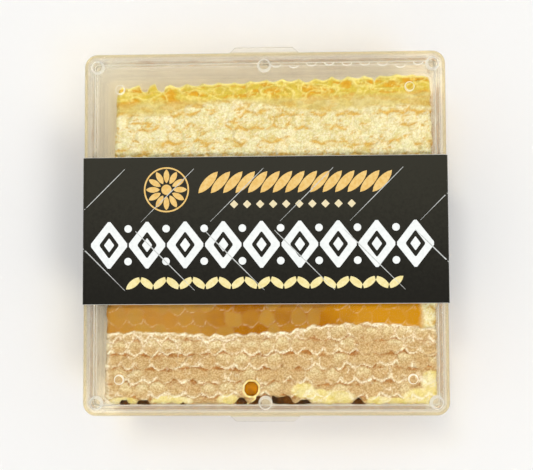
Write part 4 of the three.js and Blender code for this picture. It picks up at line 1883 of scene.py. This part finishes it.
    def rim(self, count: int) -> Points:
        """Walks round the slab's outline, anticlockwise from the near left corner.

        Args:
            count: How many points it takes.

        Returns:
            The points.
        """
        share = np.arange(count) / count * 4.0
        side, along = share.astype(int), share % 1.0
        s = np.choose(side, [along, 1.0, 1.0 - along, 0.0])
        t = np.choose(side, [0.0, along, 1.0, 1.0 - along])
        return np.column_stack(self._plan(s.astype(float), t.astype(float)))

    def build(self, material: bpy.types.Material, relief: CappingRelief) -> None:
        """Makes both layers.

        Args:
            material: Their wax.
            relief: The tree that raises their cappings.
        """
        even = np.linspace(0.0, 1.0, self.lower_columns + 1)
        for name, columns, rows, is_upper in (
            ("comb_upper_cells", np.linspace(0.0, 1.0, self.columns + 1), self._rows(), True),
            ("comb_lower_cells", even, even, False),
        ):
            layer = self._layer(name, columns, rows, is_upper)
            sizes = {"Cell_pitch": self.cell, "High": self.top, "Low": self.floor, "Midrib": self.midrib}
            relief.run(layer, material, **sizes)
            layer.data.shade_smooth()
            finish_piece(layer, "comb")


@dataclass
class OpenCell:
    """The one cell near the edge that has lost its cap: honey inside, and a rim of fresh wax."""

    slab: CombSlab
    rim: float = 0.34
    drip: float = 0.5
    steps: int = 40

    def build(self) -> None:
        """Makes the honey, the rim round it and the thread of wax that runs down from it."""
        x, y = self.slab.opened_cell
        radius = self.slab.opened_radius
        floor = self.slab.top - 0.6
        level = floor + 0.25
        rings = [(0.0, level), (0.5, level - 0.03), (0.85, level - 0.12), (1.0, level - 0.5)]
        points, faces = drop(circle(radius, self.steps), (x, y), rings, floor - 0.4)
        honey = Honey("cell_honey", "#b87600", "#985e00", 0.0).material()
        finish_piece(smooth(new_piece("cell_honey", points, faces, honey), 60.0))
        turns = round_turns(self.steps)
        wave = wander(turns * radius, 21, 0.16, 2.0)
        out = radius + 0.1 + wave
        path = np.column_stack([x + out * np.cos(turns), y + out * np.sin(turns), floor + 0.85 + wave])
        wax = SoftWax("fresh_wax").material()
        rim = tube("cell_rim", path, self.rim * (1.0 + 0.5 * wave), wax, closed=True)
        finish_piece(smooth(rim, 80.0))
        foot = self.slab.near_left[1] - 0.1
        bends = [
            (x + 1.2, y - radius, floor + 0.9),
            (x + 1.0, y - radius - 0.8, floor + 0.7),
            (x + 0.2, foot + 0.9, floor),
            (x - 1.4, foot, floor - 0.5),
        ]
        radii = [self.drip * share for share in (1.0, 0.9, 0.7, 0.5)]
        finish_piece(smooth(tube("wax_drip", bends, radii, wax), 80.0))


@dataclass
class CellPrints:
    """Thin wax arcs that a row of cells has left on the lid's underside, near the far skirt."""

    sizes: BoxSizes
    start: float = 4.0
    pitch: float = 5.9
    count: int = 9
    radius: float = 1.7
    thick: float = 0.14
    inset: float = 0.7
    squash: float = 0.7

    def build(self, rows: MotifRow) -> None:
        """Makes the row of arcs, which hang from the skirt towards the slab.

        Args:
            rows: The tree that repeats the arc.
        """
        line = self.sizes.skirt_inner - self.inset
        turns = np.linspace(math.radians(195.0), math.radians(345.0), 13)
        path = np.zeros((len(turns), 3))
        path[:, 0] = self.radius * np.cos(turns)
        path[:, 1] = line + self.squash * self.radius * (np.sin(turns) + 0.3)
        motif = tube("cell_print", path, self.thick * (0.4 + np.sin(turns - math.pi)), sides=6)
        prints = new_piece("cell_prints", [(0.0, 0.0, 0.0)], [])
        rows.run(
            prints,
            ClearPlastic("print_wax", "#ffffff", 0.4, straight=0.0, transmission=0.4).material(),
            Motif=motif,
            Count=self.count,
            Start=(self.start * MM, 0.0, (self.sizes.plate_bottom - self.thick * 1.5) * MM),
            Pitch=(self.pitch * MM, 0.0, 0.0),
            Unevenness=0.012,
        )
        discard(motif)
        finish_piece(smooth(prints, 70.0))


@dataclass
class HoneyPockets:
    """Dark honey that fills what is missing along the slab's near side, between the slab and the skirt. Its
    dark brown is partly the honey's own colour and partly painted shade of the deep, opened cells there.

    Each span gives a pocket's two ends along X and its depth.
    """

    slab: CombSlab
    spans: tuple[Place, ...] = (
        (-48.2, -45.2, 0.9), (-42.9, -38.2, 1.1), (-28.2, -26.6, 0.8), (-10.6, -2.3, 2.4), (2.3, 15.2, 2.4),
        (27.7, 33.0, 2.2),
    )
    drop: float = 1.3
    thick: float = 1.0
    round_power: float = 0.45
    steps: int = 36

    def build(self) -> None:
        """Makes each pocket's honey as a flat drop with a rounded rim."""
        # Painted shade: the near-black brown stands partly for the shade inside the opened cells.
        finish = Honey("pocket_honey", "#603604", "#382003", 0.1).material()
        turns = round_turns(self.steps)
        across, along = (np.sign(v) * np.abs(v) ** self.round_power for v in (np.cos(turns), np.sin(turns)))
        front = self.slab.near_left[1] - 0.35
        top = self.slab.top - self.drop
        foot = top - self.thick
        for number, (low, high, depth) in enumerate(self.spans, start=1):
            x = (high - low + 0.8) / 2 * across
            y = (depth + 0.9) / 2 * along + wander(x, 50 + number, 0.12, 2.0)
            middle = ((low + high) / 2, front + (depth + 0.9) / 2)
            rings = [(0.0, top), (0.8, top), (1.0, top - 0.2), (1.0, foot)]
            points, faces = drop(list(zip(x, y)), middle, rings, foot)
            finish_piece(smooth(new_piece(f"pocket_honey_{number}", points, faces, finish), 60.0))


@dataclass
class HoneyPool:
    """The honey that has run out along the slab's foot, held back by the tray's walls.

    Each ring of its section is a share of the way out and a share of its level.
    """

    sizes: BoxSizes
    slab: CombSlab
    level: float = 0.9
    count: int = 480
    tuck: float = 1.4
    section: tuple[Spot, ...] = ((0.0, 0.0), (1.0, 0.0), (0.94, 0.45), (0.7, 0.85), (0.3, 1.0), (0.0, 1.0))

    def build(self) -> None:
        """Makes the pool as a closed band round the slab."""
        outline = self.slab.rim(self.count)
        ahead = np.roll(outline, -3, 0) - np.roll(outline, 3, 0)
        ahead /= np.linalg.norm(ahead, axis=1)[:, None] + TINY
        out = np.column_stack([ahead[:, 1], -ahead[:, 0]])
        spread = np.clip(1.6 + wander(np.arange(self.count) * 0.9, 31, 2.2, 9.0), 0.3, 6.0)
        spread[: self.count // 4] += 1.5
        floor = self.sizes.floor + TOUCH
        wall = self.sizes.tray_half(self.sizes.floor + self.level) - self.sizes.wall - 0.05
        points = []
        for share, height in self.section:
            ring = outline + out * (spread[:, None] * share - self.tuck * (1.0 - share))
            ring = np.clip(ring, -wall, wall)
            points.append(np.column_stack([ring, np.full(self.count, floor + self.level * height)]))
        honey = Honey("pool_honey", "#d8a44a", "#c08a30", 0.3).material()
        faces = skin(len(self.section), self.count, closed=True)
        finish_piece(smooth(new_piece("honey_pool", np.vstack(points), faces, honey), 50.0))


# ---- The label ----


@dataclass
class BandPath:
    """The line that the label follows: up one side of the box, over the lid and down the other."""

    sizes: BoxSizes
    foot: float = 3.5

    def bend(self, along: Points, out: Points) -> tuple[Points, Points]:
        """Where a flat place comes to lie.

        Args:
            along: Distance from the lid's middle, positive towards +X.
            out: Distance out from the box's skin.

        Returns:
            Its X and its Z.
        """
        s = self.sizes
        flat = s.half - s.edge
        arc = s.edge * math.pi / 2.0
        beyond = np.abs(along) - flat
        angle = np.clip(beyond / s.edge, 0.0, math.pi / 2.0)
        down = np.maximum(0.0, beyond - arc)
        lean = np.maximum(0.0, down - (s.top - s.edge - s.rim)) * s.draft / s.rim
        x = np.minimum(np.abs(along), flat) + (s.edge + out) * np.sin(angle) - lean
        z = s.top - s.edge + (s.edge + out) * np.cos(angle) - down
        return np.sign(along) * x, z

    @property
    def end(self) -> float:
        """The distance along the band from the middle to either end."""
        s = self.sizes
        return s.half - s.edge + s.edge * math.pi / 2.0 + (s.top - s.edge - self.foot)

    def wrap(self, piece: bpy.types.Object) -> None:
        """Bends a flat piece round the box.

        Args:
            piece: The piece, whose Z is its distance out from the box's skin.
        """
        count = len(piece.data.vertices)
        flat = np.empty(count * 3, np.float32)
        piece.data.vertices.foreach_get("co", flat)
        flat = flat.reshape(-1, 3) / MM
        x, z = self.bend(flat[:, 0], flat[:, 2])
        bent = np.stack([x, flat[:, 1], z], -1) * MM
        piece.data.vertices.foreach_set("co", bent.astype(np.float32).ravel())
        piece.data.update()


def flat_plate(name: str, outlines: Sequence[Sequence[Spot]], low: float, high: float) -> bpy.types.Object:
    """Thin closed plates over flat outlines.

    Args:
        name: The piece's name.
        outlines: Each plate's corners, anticlockwise.
        low: The height of its underside.
        high: The height of its face.

    Returns:
        The plates, as one piece.
    """
    points: list[Place] = []
    faces: list[list[int]] = []
    for outline in outlines:
        faces += skin(2, len(outline), first=len(points))
        points += [(x, y, z) for z in (low, high) for x, y in outline]
    return new_piece(name, points, faces)


def frame_plate(
    name: str, outer: Sequence[Spot], inner: Sequence[Spot], low: float, high: float
) -> bpy.types.Object:
    """A thin closed plate with a hole.

    Args:
        name: The piece's name.
        outer: Its corners, anticlockwise.
        inner: The hole's, as many.
        low: The height of its underside.
        high: The height of its face.

    Returns:
        The plate.
    """
    rings = ((outer, low), (outer, high), (inner, high), (inner, low))
    points = [(x, y, z) for line, z in rings for x, y in line]
    return new_piece(name, points, skin(4, len(outer), closed=True))


def lozenge(width: float, height: float, blunt: float = 0.07) -> list[Spot]:
    """A lozenge with slightly blunt tips.

    Args:
        width: Its width.
        height: Its height.
        blunt: How much of each is cut off at a tip.

    Returns:
        Its corners, anticlockwise.
    """
    corners = []
    for x, y in ((width / 2, 0.0), (0.0, height / 2), (-width / 2, 0.0), (0.0, -height / 2)):
        side_x, side_y = (0.0, height * blunt / 2) if x else (width * blunt / 2, 0.0)
        turn = 1.0 if (x > 0 or y < 0) else -1.0
        corners += [(x - turn * side_x, y - turn * side_y), (x + turn * side_x, y + turn * side_y)]
    return corners


def leaf(length: float, width: float, tilt: float = 0.0, steps: int = 9) -> list[Spot]:
    """A leaf, pointed at both ends.

    Args:
        length: Its length, along X before it is tilted.
        width: Its width.
        tilt: Its turn, in degrees.
        steps: Points along each side.

    Returns:
        Its outline, anticlockwise.
    """
    along = np.linspace(-1.0, 1.0, steps)
    lower = [(a * length / 2, -((1.0 - a * a) ** 0.8) * width / 2) for a in along]
    upper = [(x, -y) for x, y in lower[-2:0:-1]]
    across, up = math.cos(math.radians(tilt)), math.sin(math.radians(tilt))
    return [(x * across - y * up, x * up + y * across) for x, y in lower + upper]


BIG_LOZENGE = lozenge(12.0, 15.4)
PAIR_OF_DOTS = [shifted(circle(1.25), (0.0, y)) for y in (5.4, -5.4)]


class Ink(Enum):
    """The label's inks."""

    GOLD = ("#f4cf84", "#e8ba66")
    CREAM = ("#f0e2bc", "#e8d7aa")
    WHITE = ("#fafcf9", "#eef2f0")
    STRAW = ("#faedb2", "#f0dd94")
    SLIT = ("#d9dbd8", "#b9bbb6")

    def material(self) -> bpy.types.Material:
        """The ink's finish."""
        shade, mottle = self.value
        return Paper(f"ink_{self.name.lower()}", shade, mottle, roughness=0.42).material()


@dataclass(frozen=True)
class PrintRow:
    """A row of one motif on the label.

    The outlines are the motif's, about its own middle, and hole is the hole in it, if it has one. The row
    starts at start, goes on by pitch, and its motifs lean by turns to one side and the other.
    """

    name: str
    ink: Ink
    outlines: Sequence[Sequence[Spot]]
    count: int
    start: Spot
    pitch: float
    lean: float = 0.0
    hole: Sequence[Spot] | None = None


@dataclass(frozen=True)
class SlitRow:
    """A row of diagonal slits: how each drops, its ends, and the first one's place at its top."""

    name: str
    slope: float
    start: float
    high: float
    low: float
    width: float


@dataclass
class LabelBand:
    """The label: white paper with a black face, and on it plain bands of ornament and security slits."""

    sizes: BoxSizes
    width: float = 48.0
    centre: float = 0.8
    gap: float = 0.1
    paper: float = 0.13
    face: float = 0.1
    ink: float = 0.03
    paper_margin: float = 0.14
    overlap: float = 0.85
    rosette: Spot = (-32.4, 14.3)
    petals: int = 12
    petal_reach: float = 4.5
    slit_count: int = 6
    slit_pitch: float = 23.0
    slit_steps: int = 24
    slits: tuple[SlitRow, ...] = (
        SlitRow("slits_upper", -1.0, -46.3, 21.2, 3.6, 0.26),
        SlitRow("slits_lower", 1.0, -65.7, 0.6, -19.0, 0.34),
    )
    prints: tuple[PrintRow, ...] = (
        PrintRow(
            "print_lozenge_frames", Ink.WHITE, [BIG_LOZENGE], 9, (-51.4, -4.0), 12.6, hole=lozenge(6.2, 8.4)
        ),
        PrintRow("print_lozenge_seeds", Ink.WHITE, [lozenge(3.2, 4.4)], 9, (-51.4, -4.0), 12.6),
        PrintRow("print_dots", Ink.WHITE, PAIR_OF_DOTS, 8, (-45.1, -4.0), 12.6),
        PrintRow("print_rope", Ink.GOLD, [leaf(9.6, 3.0, 48.0)], 15, (-18.6, 16.6), 4.1),
        PrintRow("print_beads", Ink.CREAM, [lozenge(2.6, 2.6)], 10, (-10.0, 9.3), 4.3),
        PrintRow("print_laurel", Ink.STRAW, [leaf(6.4, 2.4)], 21, (-43.2, -16.6), 4.3, 38.0),
    )

    def __post_init__(self) -> None:
        """Works out the band's path, and the heights of its face and its print."""
        self.path = BandPath(self.sizes)
        self.surface = self.gap + self.paper + self.face
        self.print_heights = (self.surface, self.surface + self.ink)

    def build(self, rows: MotifRow, places: MotifPlaces) -> None:
        """Makes the band and all that is printed on it.

        Args:
            rows: The tree that repeats a motif along a line.
            places: The tree that sets a motif round a middle.
        """
        half = (self.width + self.overlap) / 2
        white = Paper("label_paper", "#f2f0ea", "#e6e2d8", 0.6).material()
        # The face's lighter shade at the far side, going over to the darker mottle at the near side, is a
        # painted sheen.
        black = Paper("label_face", "#302e24", "#16140c", span=52.0).material()
        backing = self.gap + self.paper
        self._strip("label_paper", half, self.gap, backing, white)
        self._strip("label_face", half - self.paper_margin, backing, self.surface, black)
        for row in self.prints:
            if row.hole is None:
                motif = flat_plate("motif", row.outlines, *self.print_heights)
            else:
                motif = frame_plate("motif", row.outlines[0], row.hole, *self.print_heights)
            self._repeat(rows, row, motif)
        self._rosette(places)
        for slit in self.slits:
            row = PrintRow(slit.name, Ink.SLIT, [], self.slit_count, (slit.start, slit.high), self.slit_pitch)
            self._repeat(rows, row, self._slit(slit))

    def _strip(self, name: str, half: float, low: float, high: float, material: bpy.types.Material) -> None:
        """Makes a closed strip along the whole band, bent round the box.

        Args:
            name: The piece's name.
            half: Half its width.
            low: Its underside's distance out from the box's skin.
            high: Its face's distance out.
            material: Its paper.
        """
        flat = self.sizes.half - self.sizes.edge
        bend = flat + self.sizes.edge * math.pi / 2.0
        down = np.linspace(bend, self.path.end, 14)[1:]
        right = np.concatenate([np.linspace(0.0, flat, 24), np.linspace(flat, bend, 12)[1:], down])
        along = np.concatenate([-right[:0:-1], right])
        section = [(-half, low), (half, low), (half, high), (-half, high)]
        points = [(u, self.centre + v, h) for u in along for v, h in section]
        strip = new_piece(name, points, skin(len(along), 4), material)
        self.path.wrap(strip)
        finish_piece(smooth(strip, 30.0), "label_band")

    def _repeat(self, rows: MotifRow, row: PrintRow, motif: bpy.types.Object) -> None:
        """Prints a row of one motif on the label.

        Args:
            rows: The tree that repeats the motif.
            row: The row.
            motif: The motif, which is removed.
        """
        piece = new_piece(row.name, [(0.0, 0.0, 0.0)], [])
        rows.run(
            piece,
            row.ink.material(),
            Motif=motif,
            Count=row.count,
            Start=(row.start[0] * MM, row.start[1] * MM, 0.0),
            Pitch=(row.pitch * MM, 0.0, 0.0),
            Lean=math.radians(row.lean),
        )
        discard(motif)
        self._print(piece)

    def _print(self, piece: bpy.types.Object) -> None:
        """Bends a flat print round the box and hands it over."""
        self.path.wrap(piece)
        finish_piece(piece)

    def _rosette(self, places: MotifPlaces) -> None:
        """Prints the gold rosette at the left: petals round a button, in a fine ring.

        Args:
            places: The tree that sets the petals in place.
        """
        x, y = self.rosette
        spots = [(*spot, 0.0) for spot in shifted(circle(self.petal_reach, self.petals), self.rosette)]
        petal = flat_plate("petal", [leaf(4.6, 1.9)], *self.print_heights)
        piece = new_piece("print_rosette", spots, [])
        gold = Ink.GOLD.material()
        places.run(piece, gold, Motif=petal, Middle=(x * MM, y * MM, 0.0))
        discard(petal)
        self._print(piece)
        sizes = ((7.5, 48), (7.0, 48), (1.7, 24))
        outer, inner, dot = (shifted(circle(*size), self.rosette) for size in sizes)
        ring = frame_plate("print_rosette_ring", outer, inner, *self.print_heights)
        button = flat_plate("print_rosette_button", [dot], *self.print_heights)
        for part in (ring, button):
            part.data.materials.append(gold)
            self._print(part)

    def _slit(self, row: SlitRow) -> bpy.types.Object:
        """Makes one fine diagonal cut that shows the white paper.

        Args:
            row: The row that it belongs to.

        Returns:
            The slit, from its top at the origin downward, thickest at its middle.
        """
        length = row.high - row.low
        low, high = (height + self.ink for height in self.print_heights)
        points = []
        for share in np.linspace(0.0, 1.0, self.slit_steps + 1):
            x, y = row.slope * length * share, -length * share
            taper = 0.35 + 0.65 * math.sin(math.pi * min(1.0, 0.1 + share))
            side = row.width / 2 * taper * 0.707
            left, right = (x - side, y - side * row.slope), (x + side, y + side * row.slope)
            points += [(*left, low), (*right, low), (*right, high), (*left, high)]
        return new_piece("slit", points, skin(self.slit_steps + 1, 4))


# ---- The studio ----


@dataclass(frozen=True)
class Lamp:
    """A square soft lamp that looks at the box."""

    name: str
    place: Place
    size: float
    power: float
    aim: Place = (0.0, 0.0, 0.018)

    def light(self) -> None:
        """Hangs the lamp."""
        data = bpy.data.lights.new(self.name, "AREA")
        data.size = self.size
        data.energy = self.power
        lamp = bpy.data.objects.new(self.name, data)
        lamp.location = self.place
        lamp.rotation_euler = (Vector(self.aim) - lamp.location).to_track_quat("-Z", "Y").to_euler()
        bpy.context.scene.collection.objects.link(lamp)


@dataclass(frozen=True)
class Studio:
    """The camera above the box, the pale sheet under it, and the soft light."""

    camera_place: Place = (17.7, -29.1, 436.0)
    camera_turn: Place = (4.015, 2.46, -0.254)
    lens: float = 82.4
    sheet: float = 6000.0
    sheet_z: float = -0.05
    sky: float = 0.66
    backdrop: float = 0.88
    lamps: tuple[Lamp, ...] = (
        Lamp("key", (-0.6, 1.05, 2.6), 0.6, 14.0),
        Lamp("fill", (1.2, -1.0, 2.3), 0.9, 21.5),
    )

    def set_camera(self) -> None:
        """Makes the camera and hands it to the scene."""
        data = bpy.data.cameras.new("camera")
        data.lens = self.lens
        data.clip_start, data.clip_end = 0.01, 20.0
        camera = bpy.data.objects.new("camera", data)
        camera.location = Vector(self.camera_place) * MM
        camera.rotation_euler = Euler([math.radians(a) for a in self.camera_turn])
        bpy.context.scene.collection.objects.link(camera)
        bpy.context.scene.camera = camera

    def build(self) -> None:
        """Lays the sheet, hangs the lamps and lights the sky."""
        half = self.sheet / 2
        corners = [(x * half, y * half, self.sheet_z) for x, y in ((-1, -1), (1, -1), (1, 1), (-1, 1))]
        new_piece("studio_sheet", corners, [[0, 1, 2, 3]], StudioPaper().material())
        for lamp in self.lamps:
            lamp.light()
        world = bpy.data.worlds.new("sky")
        world.use_nodes = True
        graph = Graph(world.node_tree)
        seen = Flow(graph, graph.node("ShaderNodeLightPath").outputs["Is Camera Ray"])
        light = world.node_tree.nodes["Background"].inputs
        graph.feed(light["Color"], (1.0, 1.0, 1.0, 1.0))
        graph.feed(light["Strength"], seen.rise(0.0, 1.0, self.sky, self.backdrop))
        bpy.context.scene.world = world
        bpy.context.scene.view_settings.view_transform = "Standard"


def main() -> None:
    """Builds the box of comb, piece by piece."""
    logging.basicConfig(level=logging.INFO, format="%(message)s")
    studio = Studio()
    studio.set_camera()
    sizes = BoxSizes()
    rows, places = MotifRow(), MotifPlaces()
    Tray(sizes).build(ClearPlastic("clear_tray", "#fdf9ee", haze=0.05).material())
    slab = CombSlab(sizes)
    slab.build(CombFinish().material(), CappingRelief())
    OpenCell(slab).build()
    HoneyPockets(slab).build()
    HoneyPool(sizes, slab).build()
    CellPrints(sizes).build(rows)
    lid_plastic = ClearPlastic("clear_lid", "#fdfcf8", ior=1.33, haze=0.3, rim_half=sizes.half)
    Lid(sizes).build(lid_plastic.material(), places)
    LabelBand(sizes).build(rows, places)
    studio.build()


if __name__ == "__main__":
    main()
